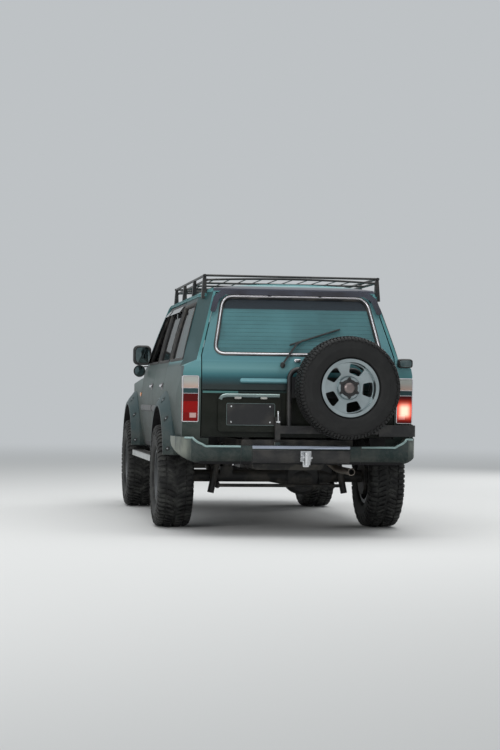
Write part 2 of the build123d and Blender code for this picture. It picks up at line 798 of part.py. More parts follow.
# Springs and shock absorbers
with BuildPart() as springs_and_shocks:
    for side in (-1, 1):
        x = side * REAR_COIL_X
        add(rod((x, REAR_AXLE_Y, COIL_LOW_Z), (x, REAR_AXLE_Y, 605), 50, 38))
        x = side * FRONT_COIL_X
        add(rod((x, FRONT_AXLE_Y, COIL_LOW_Z), (x, FRONT_AXLE_Y, 800), 58, 44))
        add(rod((side * 552, REAR_AXLE_Y - 120, 282), (side * 470, REAR_AXLE_Y - 120, 690), 27))
        add(rod((side * 560, FRONT_AXLE_Y - 130, 380), (side * 500, FRONT_AXLE_Y - 130, 810), 26))

# Links, track bars and the stabiliser
with BuildPart() as links_and_bars:
    for side in (-1, 1):
        add(rod((side * 480, REAR_AXLE_Y - 10, 335), (side * 480, -480, 470), 24))
        add(rod((side * 445, FRONT_AXLE_Y - 20, 345), (side * 445, 960, 480), 24))
    add(rod((-500, REAR_AXLE_Y - 190, 345), (500, REAR_AXLE_Y - 190, 345), 14))
    add(rod((-340, REAR_AXLE_Y + 110, 545), (540, REAR_AXLE_Y + 110, 372), 17))
    add(front_axle.part, mode=Mode.SUBTRACT)
    add(rear_axle.part, mode=Mode.SUBTRACT)
with BuildPart() as suspension:
    add(springs_and_shocks.part)
    add(links_and_bars.part)
save(suspension.part, "suspension")

# Engine, gearbox, shafts, exhaust, tank and radiator
with BuildPart() as engine_block:
    add(block((-280, 1130, 600), (280, 1960, 1130)))
save(engine_block.part, "engine_block")
with BuildPart() as gearbox:
    add(block((-130, 0, 440), (230, 360, 640)))
    add(block((-120, 360, 460), (120, 1030, 640)))
save(gearbox.part, "gearbox")
with BuildPart() as propshafts:
    add(rod((190, 0, 505), (DIFF_X, REAR_AXLE_Y + 250, AXLE_Z), 34))
    add(rod((190, 360, 500), (DIFF_X, FRONT_AXLE_Y - 250, AXLE_Z), 30))
    add(gearbox.part, mode=Mode.SUBTRACT)
    add(front_axle.part, mode=Mode.SUBTRACT)
    add(rear_axle.part, mode=Mode.SUBTRACT)
save(propshafts.part, "propshafts")
with BuildPart() as exhaust:
    with BuildLine() as pipe_line:
        FilletPolyline(
            (EXHAUST_X, 1110, 640),
            (EXHAUST_X, 1110, EXHAUST_Z),
            (EXHAUST_X, -560, EXHAUST_Z),
            (EXHAUST_X, -900, 590),
            (EXHAUST_X, -1380, 590),
            (416, -1620, 493),
            (416, -2170, 493),
            radius=90,
        )
    with BuildSketch(Plane(origin=pipe_line.line @ 0, z_dir=pipe_line.line % 0)):
        Circle(27)
    sweep(path=pipe_line.line)
    add(rod((EXHAUST_X, -420, EXHAUST_Z), (EXHAUST_X, 60, EXHAUST_Z), 68))
    add(rod((416, -2180, 493), (416, -2090, 493), 23), mode=Mode.SUBTRACT)
save(exhaust.part, "exhaust")
with BuildPart() as fuel_tank:
    add(block((-330, -2030, 500), (225, -1520, 740)))
    fillet(fuel_tank.edges().filter_by(Axis.Y), 40)
save(fuel_tank.part, "fuel_tank")
with BuildPart() as radiator:
    add(block((-330, 2180, 690), (330, 2260, 1110)))
save(radiator.part, "radiator")

# Bumpers, hitch and side steps
with BuildPart() as rear_bumper:
    add(form(REAR_BUMPER_SIDE, REAR_BUMPER_FACE, REAR_BUMPER_PLAN))
    add(block((-850, -2225, 500), (850, -1700, 655)), mode=Mode.SUBTRACT)
    add(cab_outside, mode=Mode.SUBTRACT)
    add(block((-880, REAR_FACE_Y + 3, 600), (880, -1700, 800)), mode=Mode.SUBTRACT)
    for side in (-1, 1):
        add(block((side * 390 - 40, -2240, 605), (side * 390 + 40, -2140, 656)))
    with Locations((HINGE_X, HINGE_Y, 801)):
        Cylinder(HINGE_PIN_R, 122)
    add(block((-190, -2215, 689), (-150, -2180, 718)))
save(rear_bumper.part, "rear_bumper")
with BuildPart() as tow_hitch:
    add(block((-9, -2320, 575), (72, -2302, 655)))
    add(block((10, -2400, 590), (52, -2320, 625)))
    with Locations((31, -2385, 600)):
        Cylinder(24, 96)
    add(rear_bumper.part, mode=Mode.SUBTRACT)
save(tow_hitch.part, "tow_hitch")
with BuildPart() as front_bumper:
    with BuildSketch(Plane.XY.offset(560)):
        add(outline(mirrored(FRONT_BUMPER_PLAN)))
    extrude(amount=230)
    add(block((-845, 2200, 500), (845, 2440, 690)), mode=Mode.SUBTRACT)
    add(block((-845, 2200, 689), (845, 2400, 800)), mode=Mode.SUBTRACT)
    add(front_outside, mode=Mode.SUBTRACT)
    add(pair(drum(FRONT_AXLE_Y, ARCH_Z, FLARE_R + 8, 700, FAR_X)), mode=Mode.SUBTRACT)
save(front_bumper.part, "front_bumper")
with BuildPart() as side_steps:
    for side in (-1, 1):
        inner, outer = sorted((side * 868, side * 978))
        add(block((inner, -560, 508), (outer, 1180, 556)))
        inner, outer = sorted((side * RAIL_OUT, side * 868))
        for y in (-420, 300, 1000):
            add(block((inner, y - 25, 512), (outer, y + 25, 548)))
save(side_steps.part, "side_steps")

# Roof rack: a straight top frame over low side rails, bowed end bars, crossbars and feet
with BuildPart() as roof_rack:
    for z, half in ((RACK_LOW_Z, RACK_LOW_HALF), (RACK_TOP_Z - RACK_TUBE_R, RACK_HALF)):
        for side in (-1, 1):
            add(rod((side * half, RACK_REAR_Y, z), (side * half, RACK_FRONT_Y, z), RACK_TUBE_R))
    for y in (RACK_REAR_Y + 16, RACK_FRONT_Y - 16):
        with BuildLine() as bow_line:
            ThreePointArc(
                (-RACK_LOW_HALF, y, RACK_LOW_Z + 1),
                (0, y, RACK_CROWN_Z - RACK_TUBE_R),
                (RACK_LOW_HALF, y, RACK_LOW_Z + 1),
            )
        with BuildSketch(Plane(origin=bow_line.line @ 0, z_dir=bow_line.line % 0)):
            Circle(RACK_TUBE_R - 2)
        sweep(path=bow_line.line)
        top_z = RACK_TOP_Z - RACK_TUBE_R
        add(rod((-RACK_HALF - 14, y, top_z), (RACK_HALF + 14, y, top_z), RACK_TUBE_R - 1))
    for row in range(RACK_BARS):
        y = RACK_REAR_Y + (row + 1) * (RACK_FRONT_Y - RACK_REAR_Y) / (RACK_BARS + 1)
        add(rod((-RACK_LOW_HALF, y, RACK_LOW_Z), (RACK_LOW_HALF, y, RACK_LOW_Z), RACK_TUBE_R - 2))
    foot = [(672, 1830, 0), (714, 1830, 0), (700, RACK_TOP_Z - 12, 0), (678, RACK_TOP_Z - 12, 0)]
    for y in (RACK_REAR_Y + 40, -1120, -440, RACK_FRONT_Y - 40):
        with BuildSketch(Plane.XZ.offset(-y - 24)):
            add(outline(foot))
            mirror(about=Plane.YZ)
        extrude(amount=48)
    add(cab_outside, mode=Mode.SUBTRACT)
save(roof_rack.part, "roof_rack")

# Mirrors on the front doors
with BuildPart() as mirror_right:
    with Locations((935, 792, 1434)):
        Box(165, 78, 180)
    fillet(mirror_right.edges().filter_by(Axis.Y), 46)
    fillet(mirror_right.edges(), 18)
    with Locations((868, 800, 1392)):
        Box(90, 44, 52)
    add(cab_outside, mode=Mode.SUBTRACT)
save(mirror_right.part, "mirror_right")
save(mirror(mirror_right.part, about=Plane.YZ), "mirror_left")

# Cabin: dashboard with the steering wheel, front seats and rear bench
with BuildPart() as dashboard:
    add(block((-795, 760, 900), (795, 990, 1180)))
    fillet(dashboard.edges().filter_by(Axis.X).filter_by(lambda e: e.center().Y < 800), 60)
    add(cab_inside, mode=Mode.INTERSECT)
save(dashboard.part, "dashboard")
with BuildPart() as steering_wheel:
    wheel_plane = Plane(origin=(390, 575, 1145), z_dir=(0, -0.85, 0.527))
    add(rod((390, 575, 1145), (390, 777, 1019.8), 24))
    with BuildSketch(wheel_plane):
        Circle(195)
        Circle(167, mode=Mode.SUBTRACT)
        Rectangle(350, 46)
        Circle(60)
    extrude(amount=26)
    add(dashboard.part, mode=Mode.SUBTRACT)
save(steering_wheel.part, "steering_wheel")
seat_parts = (
    block((SEAT_X - 200, 0, FLOOR_Z + WALL), (SEAT_X + 200, 400, 860)),
    side_prism(SEAT_CUSHION, SEAT_X - 255, SEAT_X + 255),
    side_prism(SEAT_BACK, SEAT_X - 250, SEAT_X + 250),
    side_prism(HEAD_REST, SEAT_X - 130, SEAT_X + 130),
)
save(pair(joined(*seat_parts)), "front_seats")
bench = joined(
    block((-600, -580, FLOOR_Z + WALL), (600, -350, 860)),
    side_prism(BENCH_CUSHION, -620, 620),
    side_prism(BENCH_BACK, -620, 620),
)
save(less(bench, pair(drum(REAR_AXLE_Y, ARCH_Z, ARCH_R + 36, 524, FAR_X))), "rear_bench")

# Spare wheel carrier: a stout hinge, a low beam to the latch and a hoop with the wheel plate
with BuildPart() as spare_carrier:
    with Locations((HINGE_X, HINGE_Y, 812)):
        Cylinder(31, 88)
    add(block((617, CARRIER_FACE_Y - 50, 768), (HINGE_X, CARRIER_FACE_Y, 856)))
    add(block((-165, CARRIER_FACE_Y - 45, 784), (617, CARRIER_FACE_Y, 844)))
    add(block((-190, CARRIER_FACE_Y - 45, 735), (-150, CARRIER_FACE_Y, 910)))
    hoop_y = CARRIER_FACE_Y - 22
    hoop_z = HOOP_TOP - HOOP_TUBE_R
    with BuildLine() as hoop_line:
        FilletPolyline(
            (HOOP_LEFT, hoop_y, 820),
            (HOOP_LEFT, hoop_y, hoop_z),
            (HOOP_RIGHT, hoop_y, hoop_z),
            (HOOP_RIGHT, hoop_y, 820),
            radius=HOOP_BEND,
        )
    with BuildSketch(Plane(origin=hoop_line.line @ 0, z_dir=hoop_line.line % 0)):
        Circle(HOOP_TUBE_R)
    sweep(path=hoop_line.line)
    add(block((HOOP_LEFT, CARRIER_FACE_Y - 34, SPARE_Z - 80), (HOOP_RIGHT, CARRIER_FACE_Y - 12, SPARE_Z + 80)))
    add(rod((SPARE_X, CARRIER_FACE_Y - 34, SPARE_Z), (SPARE_X, SPARE_FACE_Y, SPARE_Z), 78))
    with Locations((HINGE_X, HINGE_Y, 806)):
        Cylinder(HINGE_PIN_R + 0.6, 140, mode=Mode.SUBTRACT)
save(spare_carrier.part, "spare_carrier")


# Wheels: a tyre and a five-window rim, both turned about the X axis
def tyre(radius, width):
    """A hollow tyre centred on the origin, its axis along X."""
    half = width / 2
    with BuildPart() as casing:
        with BuildSketch(Plane.XY):
            with BuildLine():
                Polyline(
                    (-BEAD_HALF, BEAD_R),
                    (-BEAD_HALF, BEAD_R + 19),
                    (-half + 12, BEAD_R + 38),
                    (-half, BEAD_R + 95),
                )
                ThreePointArc(
                    (-half, BEAD_R + 95),
                    (-half + 5, (BEAD_R + 95 + radius - 34) / 2),
                    (-half + 9, radius - 34),
                )
                Polyline((-half + 9, radius - 34), (-half + 26, radius - 8))
                ThreePointArc((-half + 26, radius - 8), (0, radius), (half - 26, radius - 8))
                Polyline((half - 26, radius - 8), (half - 9, radius - 34))
                ThreePointArc(
                    (half - 9, radius - 34),
                    (half - 5, (BEAD_R + 95 + radius - 34) / 2),
                    (half, BEAD_R + 95),
                )
                Polyline(
                    (half, BEAD_R + 95),
                    (half - 12, BEAD_R + 38),
                    (BEAD_HALF, BEAD_R + 19),
                    (BEAD_HALF, BEAD_R),
                    (BEAD_HALF - 24, BEAD_R),
                    (half - 38, BEAD_R + 40),
                    (half - 22, BEAD_R + 95),
                    (half - 34, radius - 44),
                    (-half + 34, radius - 44),
                    (-half + 22, BEAD_R + 95),
                    (-half + 38, BEAD_R + 40),
                    (-BEAD_HALF + 24, BEAD_R),
                    (-BEAD_HALF, BEAD_R),
                )
            make_face()
        revolve(axis=Axis.X)
    return casing.part


def rim():
    """A five-window wheel rim centred on the origin, its outer face towards +X."""
    with BuildPart() as dish:
        with BuildSketch(Plane.XY):
            with BuildLine():
                Polyline(
                    (-RIM_HALF, RIM_FLANGE_R),
                    (-RIM_HALF, RIM_BARREL_R - 12),
                    (DISC_X - 14, RIM_BARREL_R - 16),
                    (DISC_X - 14, HUB_BORE_R),
                    (DISC_X + 34, HUB_BORE_R),
                    (DISC_X + 34, 82),
                    (DISC_X + 8, 92),
                    (DISC_X + 18, RIM_BARREL_R - 14),
                    (RIM_HALF, RIM_BARREL_R - 8),
                    (RIM_HALF, RIM_FLANGE_R),
                    (BEAD_HALF + 2, RIM_FLANGE_R),
                    (BEAD_HALF + 2, RIM_BARREL_R),
                    (-BEAD_HALF - 2, RIM_BARREL_R),
                    (-BEAD_HALF - 2, RIM_FLANGE_R),
                    close=True,
                )
            make_face()
        revolve(axis=Axis.X)
        with BuildSketch(Plane.YZ.offset(DISC_X - 40)) as windows:
            with PolarLocations(150, 5, 90):
                Trapezoid(130, 82, 74, rotation=90)
            Circle(185, mode=Mode.INTERSECT)
            fillet(windows.vertices(), 15)
        extrude(amount=120, mode=Mode.SUBTRACT)
    return dish.part


road_tyre = tyre(TYRE_R, TYRE_WIDTH)
road_rim = rim()
for corner_name, x, y, turn in (
    ("front_right", WHEEL_X, FRONT_AXLE_Y, 0),
    ("front_left", -WHEEL_X, FRONT_AXLE_Y, 180),
    ("rear_right", WHEEL_X, REAR_AXLE_Y, 0),
    ("rear_left", -WHEEL_X, REAR_AXLE_Y, 180),
):
    place = Location((x, y, AXLE_Z), (0, 0, turn))
    save(road_tyre.moved(place), f"tyre_{corner_name}")
    save(road_rim.moved(place), f"rim_{corner_name}")
spare_place = Location((SPARE_X, SPARE_Y, SPARE_Z), (0, 0, -90))
save(tyre(SPARE_R, SPARE_WIDTH).moved(spare_place), "spare_tyre")
save(road_rim.rotate(Axis.X, SPARE_TURN).moved(spare_place), "spare_rim")
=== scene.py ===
"""Looks of a lifted off-road 4x4 estate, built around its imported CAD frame.

Metres, +Y forwards, +X to the vehicle's right, +Z up, the origin on the ground. Sections follow the
vehicle as it is put together, from the frame rails outwards. A colour is its red, green and blue.
"""

import bmesh
import bpy
import numpy as np
from mathutils import Matrix, Vector


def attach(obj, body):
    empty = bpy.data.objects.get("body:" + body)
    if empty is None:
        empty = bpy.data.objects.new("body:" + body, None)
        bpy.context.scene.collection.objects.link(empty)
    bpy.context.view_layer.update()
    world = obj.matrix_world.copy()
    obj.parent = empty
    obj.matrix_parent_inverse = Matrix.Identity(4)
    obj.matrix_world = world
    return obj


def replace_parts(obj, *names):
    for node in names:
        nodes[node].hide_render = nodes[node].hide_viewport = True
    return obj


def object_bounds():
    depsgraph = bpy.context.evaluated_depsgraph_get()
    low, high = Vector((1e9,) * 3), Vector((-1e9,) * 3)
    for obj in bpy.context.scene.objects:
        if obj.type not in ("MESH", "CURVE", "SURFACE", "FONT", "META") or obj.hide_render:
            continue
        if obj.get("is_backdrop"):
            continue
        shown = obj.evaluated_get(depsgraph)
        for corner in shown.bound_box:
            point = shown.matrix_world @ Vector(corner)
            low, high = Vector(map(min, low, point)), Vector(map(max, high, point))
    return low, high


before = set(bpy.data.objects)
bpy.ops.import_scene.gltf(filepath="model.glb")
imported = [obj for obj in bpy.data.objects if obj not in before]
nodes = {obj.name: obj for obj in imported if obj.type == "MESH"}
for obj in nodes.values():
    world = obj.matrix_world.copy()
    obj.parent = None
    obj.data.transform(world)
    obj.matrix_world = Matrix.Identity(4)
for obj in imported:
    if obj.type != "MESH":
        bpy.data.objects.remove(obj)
cad_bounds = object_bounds()

# Studio. A matt pale floor that runs out into an even pale surround, and three big soft lamps. The
# camera stands low behind the left corner, where the photograph was taken.
FLOOR_COLOUR = (0.66, 0.66, 0.65)
SURROUND = (0.515, 0.540, 0.558)
FLOOR_FADE = (8, 26)
FLOOR_RINGS = (0.001, 6, 12, 20, 30, 90)
CAMERA_PLACE = Vector((-2.478, -15.915, 1.051))
CAMERA_YAW, CAMERA_PITCH, CAMERA_ROLL = np.radians((8.67, 0.73, 0.70))
CAMERA_LENS, CAMERA_SENSOR = 87.5, 36
FULL_TURN = 2 * np.pi


def put(socket, value):
    """Sets a socket's own value; a colour gets its alpha of 1 here."""
    socket.default_value = (*value, 1) if socket.type == "RGBA" else value


def shader(name, **values):
    """A material whose principled shader has these values on its own sockets."""
    material = bpy.data.materials.new(name)
    material.use_nodes = True
    for socket, value in values.items():
        put(material.node_tree.nodes["Principled BSDF"].inputs[socket.replace("_", " ")], value)
    return material


def wire(tree, kind, inputs, **settings):
    """A node with its settings; inputs gives each socket a value or another node's output."""
    made = tree.nodes.new("ShaderNode" + kind)
    for key, value in settings.items():
        setattr(made, key, value)
    for key, value in inputs.items():
        if isinstance(value, bpy.types.NodeSocket):
            tree.links.new(value, made.inputs[key])
        else:
            put(made.inputs[key], value)
    return made


def drive(material, **sockets):
    """Joins outputs to sockets of the material's principled shader."""
    tree = material.node_tree
    for socket, output in sockets.items():
        tree.links.new(output, tree.nodes["Principled BSDF"].inputs[socket.replace("_", " ")])


def maths(operation, *values):
    """One arithmetic step on outputs and numbers."""
    tree = next(value.id_data for value in values if isinstance(value, bpy.types.NodeSocket))
    return wire(tree, "Math", dict(enumerate(values)), operation=operation).outputs[0]


def times(*values):
    """The product of outputs and numbers."""
    product = values[0]
    for value in values[1:]:
        product = maths("MULTIPLY", product, value)
    return product


def wave(value, pitch):
    """The sine of a length, once round for each pitch."""
    return maths("SINE", times(value, FULL_TURN / pitch))


def distance(first, second):
    """The length of the long side of a right triangle."""
    pair = wire(first.id_data, "CombineXYZ", {0: first, 1: second}).outputs[0]
    return wire(first.id_data, "VectorMath", {0: pair}, operation="LENGTH").outputs[1]


def axes(material, output="Object"):
    """The x, y and z outputs of a coordinate or of the surface's own normal."""
    spot = wire(material.node_tree, "TexCoord", {}).outputs[output]
    return wire(material.node_tree, "SeparateXYZ", {0: spot}).outputs


def noise(material, scale, detail=4, stretch=(1, 1, 1)):
    """Soft random values from 0 to 1, their grain 1 / scale metres wide along each stretched axis."""
    tree = material.node_tree
    spot = wire(tree, "TexCoord", {}).outputs["Object"]
    spot = wire(tree, "Mapping", {"Vector": spot, "Scale": stretch}).outputs[0]
    return wire(tree, "TexNoise", {"Vector": spot, "Scale": scale, "Detail": detail}).outputs[0]


def between(value, low, high):
    """0 below low, 1 above high, and a smooth step between them."""
    inputs = {"Value": value, "From Min": low, "From Max": high}
    return wire(value.id_data, "MapRange", inputs, interpolation_type="SMOOTHSTEP").outputs[0]


def patches(material, scale, detail, low, high, stretch=(1, 1, 1)):
    """Patches of noise: 0 where it is below low and 1 where it is above high."""
    return between(noise(material, scale, detail, stretch), low, high)


def mixed(share, first, second):
    """First colour where share is 0 and second where it is 1."""
    inputs = {0: share, 6: first, 7: second}
    return wire(share.id_data, "Mix", inputs, data_type="RGBA").outputs[2]


def relief(material, height, depth):
    """Bump from a height between 0 and 1, depth metres deep."""
    inputs = {"Height": height, "Distance": depth, "Strength": 1.0}
    drive(material, Normal=wire(height.id_data, "Bump", inputs).outputs[0])


def points_at(*coordinates):
    """Points whose coordinates are arrays or single numbers."""
    return np.stack(np.broadcast_arrays(*coordinates), -1).astype(float)


def grid_faces(rows, columns, closed_rows=False, closed_columns=False):
    """Quads between neighbours of a grid of points that is numbered row by row."""
    row = np.arange(rows if closed_rows else rows - 1)[:, None]
    column = np.arange(columns if closed_columns else columns - 1)[None, :]
    next_row, next_column = (row + 1) % rows * columns, (column + 1) % columns
    row = row * columns
    corners = [row + column, row + next_column, next_row + next_column, next_row + column]
    return np.stack(corners, -1).reshape(-1, 4)


def mesh_piece(name, points, faces, material, smooth=40):
    """A mesh object whose faces point outwards; smooth is the sharpest angle that is shaded round."""
    mesh = bpy.data.meshes.new(name)
    mesh.from_pydata(np.asarray(points, float).reshape(-1, 3), [], [tuple(f) for f in faces])
    shape = bmesh.new()
    shape.from_mesh(mesh)
    bmesh.ops.remove_doubles(shape, verts=shape.verts, dist=0.00001)
    bmesh.ops.recalc_face_normals(shape, faces=shape.faces)
    shape.to_mesh(mesh)
    shape.free()
    mesh.materials.append(material)
    mesh.shade_smooth()
    mesh.set_sharp_from_angle(angle=np.radians(smooth))
    made = bpy.data.objects.new(name, mesh)
    bpy.context.scene.collection.objects.link(made)
    return made


# Far out the floor takes on the surround's own colour, so that no horizon shows behind the vehicle
floor_paint = shader("studio_floor", Roughness=0.9, Emission_Strength=1.0, Specular_IOR_Level=0.0)
x, y, z = axes(floor_paint)
far = between(distance(x, y), *FLOOR_FADE)
drive(floor_paint, Base_Color=mixed(far, FLOOR_COLOUR, (0, 0, 0)))
drive(floor_paint, Emission_Color=mixed(far, (0, 0, 0), SURROUND))
turn, reach = np.meshgrid(np.linspace(0, FULL_TURN, 96, endpoint=False), FLOOR_RINGS)
disc = points_at(reach * np.cos(turn), reach * np.sin(turn), 0)
floor = mesh_piece("floor", disc, grid_faces(6, 96, False, True), floor_paint, smooth=80)
floor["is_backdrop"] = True

world = bpy.data.worlds.new("surround")
bpy.context.scene.world = world
world.use_nodes = True
put(world.node_tree.nodes["Background"].inputs["Color"], SURROUND)
put(world.node_tree.nodes["Background"].inputs["Strength"], 1.0)

# Each lamp: name, place, what it faces, width and depth in metres, watts
LAMPS = [
    ("overhead", (0, -1, 7.5), (0, 0, 0), 9, 9, 520),
    ("behind_left", (-7, -9, 4.5), (0, -1, 1), 5, 4, 260),
    ("front_right", (7, 8, 5), (0, 0, 1), 5, 4, 260),
]
for lamp_name, lamp_place, target, width, depth, watts in LAMPS:
    lamp = bpy.data.lights.new(lamp_name, "AREA")
    lamp.shape, lamp.size, lamp.size_y, lamp.energy = "RECTANGLE", width, depth, watts
    stand = bpy.data.objects.new(lamp_name, lamp)
    bpy.context.scene.collection.objects.link(stand)
    stand.location = lamp_place
    stand.rotation_euler = (Vector(target) - Vector(lamp_place)).to_track_quat("-Z", "Y").to_euler()

ahead = Vector((np.sin(CAMERA_YAW), np.cos(CAMERA_YAW), 0))
right = Vector((np.cos(CAMERA_YAW), -np.sin(CAMERA_YAW), 0))
looking = ahead * np.cos(CAMERA_PITCH) + Vector((0, 0, np.sin(CAMERA_PITCH)))
upright = right.cross(looking)
camera_right = right * np.cos(CAMERA_ROLL) + upright * np.sin(CAMERA_ROLL)
camera_up = upright * np.cos(CAMERA_ROLL) - right * np.sin(CAMERA_ROLL)
lens = bpy.data.cameras.new("viewpoint")
lens.lens, lens.sensor_width = CAMERA_LENS, CAMERA_SENSOR
camera = bpy.data.objects.new("viewpoint", lens)
bpy.context.scene.collection.objects.link(camera)
turned_frame = Matrix((camera_right, camera_up, -looking)).transposed().to_4x4()
camera.matrix_world = Matrix.Translation(CAMERA_PLACE) @ turned_frame
bpy.context.scene.camera = camera
bpy.context.scene.view_settings.view_transform = "Standard"

# Chassis. A welded ladder frame with two live axles, links, coils and dampers, all in worn black
# paint under a coat of road dust. Springs are wound bars that replace nothing and stand round tubes.
DUST = (0.20, 0.18, 0.15)


def worn_black(name, colour, dust, rough=0.55):
    """Black coating, dulled by dust in soft patches and on faces that look upwards."""
    made = shader(name, Metallic=0.0)
    cloud = patches(made, 9, 6, 0.42, 0.66)
    up = between(axes(made, "Normal")[2], 0.2, 0.9)
    share = times(maths("MAXIMUM", cloud, up), dust)
    drive(made, Base_Color=mixed(share, colour, DUST))
    drive(made, Roughness=maths("ADD", times(share, 0.35), rough))
    relief(made, noise(made, 260, 3), 0.0006)
    return made


def metal(name, colour, rough, grain=(1, 1, 1), scale=60, depth=0.0003):
    """Bare metal with a fine grain and uneven roughness."""
    made = shader(name, Metallic=1.0)
    streak = noise(made, scale, 4, grain)
    pale = tuple(min(1, c * 1.25) for c in colour)
    drive(made, Base_Color=mixed(patches(made, 7, 4, 0.3, 0.75), colour, pale))
    drive(made, Roughness=maths("ADD", times(streak, 0.22), rough - 0.1))
    relief(made, streak, depth)
    return made


def coat(material, *node_names):
    """Gives CAD nodes a finish in place of the plain one that they are packed with."""
    for node_name in node_names:
        mesh = nodes[node_name].data
        mesh.materials.clear()
        mesh.materials.append(material)
        mesh.shade_smooth()
        mesh.set_sharp_from_angle(angle=np.radians(32))


underbody_black = worn_black("underbody_black", (0.013, 0.013, 0.013), 0.30)
bright_metal = metal("bright_metal", (0.62, 0.63, 0.64), 0.30)
coat(underbody_black, "chassis_frame", "rear_axle", "front_axle", "suspension", "propshafts")
coat(underbody_black, "tie_rod", "knuckle_left", "knuckle_right", "fuel_tank")
coat(metal("cast_grey", (0.20, 0.20, 0.20), 0.55, scale=180, depth=0.0012), "engine_block", "gearbox")
coat(metal("exhaust_steel", (0.40, 0.35, 0.30), 0.42, (1, 0.2, 1)), "exhaust")
coat(bright_metal, "radiator", "tow_hitch")


def fix(made, body="vehicle"):
    """A new piece rides on a body."""
    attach(made, body)
    return made


def unit(vectors):
    """Vectors scaled to a length of one."""
    return vectors / np.maximum(np.linalg.norm(vectors, axis=-1, keepdims=True), 1e-9)


def swept(name, path, section, material, up=(0, 0, 1), closed=False):
    """A closed section of (side, up) points carried along a path. At each point of the path the side
    is the travel crossed with up, so the shape is path + side * s + lift * u, and its ends are capped."""
    path, section = np.asarray(path, float), np.asarray(section, float)
    if closed:
        travel = unit(np.roll(path, -1, 0) - np.roll(path, 1, 0))
    else:
        travel = unit(np.gradient(path, axis=0))
    side = unit(np.cross(travel, np.broadcast_to(up, path.shape)))
    lift = np.cross(side, travel)
    points = path[:, None] + side[:, None] * section[:, :1] + lift[:, None] * section[:, 1:]
    faces = grid_faces(len(path), len(section), closed, True).tolist()
    if not closed:
        last = (len(path) - 1) * len(section)
        faces += [list(range(len(section)))[::-1], list(range(last, last + len(section)))]
    return mesh_piece(name, points, faces, material)


def ring(radius, steps=12, squash=1.0):
    """A round or oval section."""
    angle = np.linspace(0, FULL_TURN, steps, endpoint=False)
    return np.stack([np.cos(angle) * radius, np.sin(angle) * radius * squash], -1)


def joined(name, pieces):
    """Several meshes as one piece."""
    with bpy.context.temp_override(active_object=pieces[0], selected_editable_objects=pieces):
        bpy.ops.object.join()
    pieces[0].name = name
    return pieces[0]


# Each coil: x, y, low and high ends, radius at the wire's middle, turns
COILS = [(0.412, -1.11, 0.498, 0.600, 0.060, 3.4), (0.510, 1.74, 0.498, 0.794, 0.070, 6.5)]
SIDES = ((-1, "left"), (1, "right"))
wound = []
for x, y, low, high, radius, turns in COILS:
    for side, _ in SIDES:
        angle = np.linspace(0, FULL_TURN * turns, int(24 * turns))
        rise = np.linspace(low + 0.008, high - 0.008, len(angle))
        path = points_at(side * x + radius * np.cos(angle), y + radius * np.sin(angle), rise)
        wound.append(swept("coil", path, ring(0.0075, 8), bright_metal))
fix(joined("coil_springs", wound))

# Wheels. Five tyres with moulded lugs on a rubber case, on alloy rims that are held by six nuts. The
# road tyres are mud tyres with shoulder blocks; the spare has a closer tread and a silver rim.
HUB_HEIGHT, REAR_AXLE, FRONT_AXLE = 0.416, -1.11, 1.74
RIM_FACE, NUT_RING = 0.0642, 0.0690
# Half of the case's outline in parts of the tyre's half width and metres of radius below the crown
TYRE_OUTLINE = [
    (0.720, 0.2033), (0.733, 0.222), (0.880, 0.240), (0.905, 0.243), (0.915, 0.249), (0.945, 0.262),
    (0.972, 0.285), (0.978, 0.310), (0.982, 0.312), (0.982, 0.320), (0.974, 0.324), (0.962, 0.345),
    (0.940, 0.368), (0.905, 0.384), (0.850, 0.3925), (0.700, 0.3975), (0.350, 0.4010), (0, 0.4020),
]
# Each lug of one pitch: inner and outer reach along the case from its crown, start and skew in
# parts of a pitch, half width and height in metres
MUD_LUGS = [
    (0.082, 0.190, 0.00, 0.03, 0.0155, 0.0140),
    (0.086, 0.168, 0.50, 0.03, 0.0150, 0.0140),
    (0.010, 0.070, 0.20, 0.30, 0.0125, 0.0140),
    (0.014, 0.074, 0.72, 0.30, 0.0110, 0.0140),
]
ROAD_LUGS = [
    (0.088, 0.138, 0.00, 0.05, 0.0105, 0.0100),
    (0.090, 0.131, 0.50, 0.05, 0.0105, 0.0100),
    (0.047, 0.081, 0.15, 0.22, 0.0105, 0.0120),
    (0.047, 0.081, 0.65, 0.22, 0.0105, 0.0120),
    (0.006, 0.040, 0.35, -0.2, 0.0100, 0.0120),
    (0.006, 0.040, 0.85, -0.2, 0.0100, 0.0120),
]
# Parts of a lug's height and half width at its four corners, and how its height fades outwards
LUG_RISE = np.array((-0.003, 1, 1, -0.003))[:, None]
LUG_WIDTH = np.array((-1, -0.82, 0.82, 1))[:, None]
LUG_STATIONS = 6


def rubber(name, dust):
    """Tyre rubber with mould lines and dust that has dried in patches."""
    made = shader(name, Specular_IOR_Level=0.35)
    share = times(patches(made, 14, 8, 0.40, 0.70), dust)
    drive(made, Base_Color=mixed(share, (0.008, 0.008, 0.008), (0.075, 0.076, 0.070)))
    drive(made, Roughness=maths("ADD", times(share, 0.3), 0.62))
    relief(made, noise(made, 380, 3), 0.0007)
    return made


def round_axle(along, radius, angle, centre, axle):
    """Points at a distance along an axle and a radius and angle round it."""
    axle = np.array(axle, float)
    side = np.cross((0, 0, 1), axle)
    out = np.cos(angle)[..., None] * side + np.sin(angle)[..., None] * np.array((0, 0, 1.0))
    return np.asarray(centre) + np.asarray(along)[..., None] * axle + radius[..., None] * out


def turned(name, outline, centre, axle, material, steps=96, smooth=40):
    """A closed outline of (along, radius) turned a full circle round an axle."""
    angle = np.linspace(0, FULL_TURN, steps, endpoint=False)[:, None]
    along, radius, angle = np.broadcast_arrays(*np.asarray(outline, float).T, angle)
    points = round_axle(along, radius, angle, centre, axle)
    return mesh_piece(name, points, grid_faces(*along.shape, True, True), material, smooth)


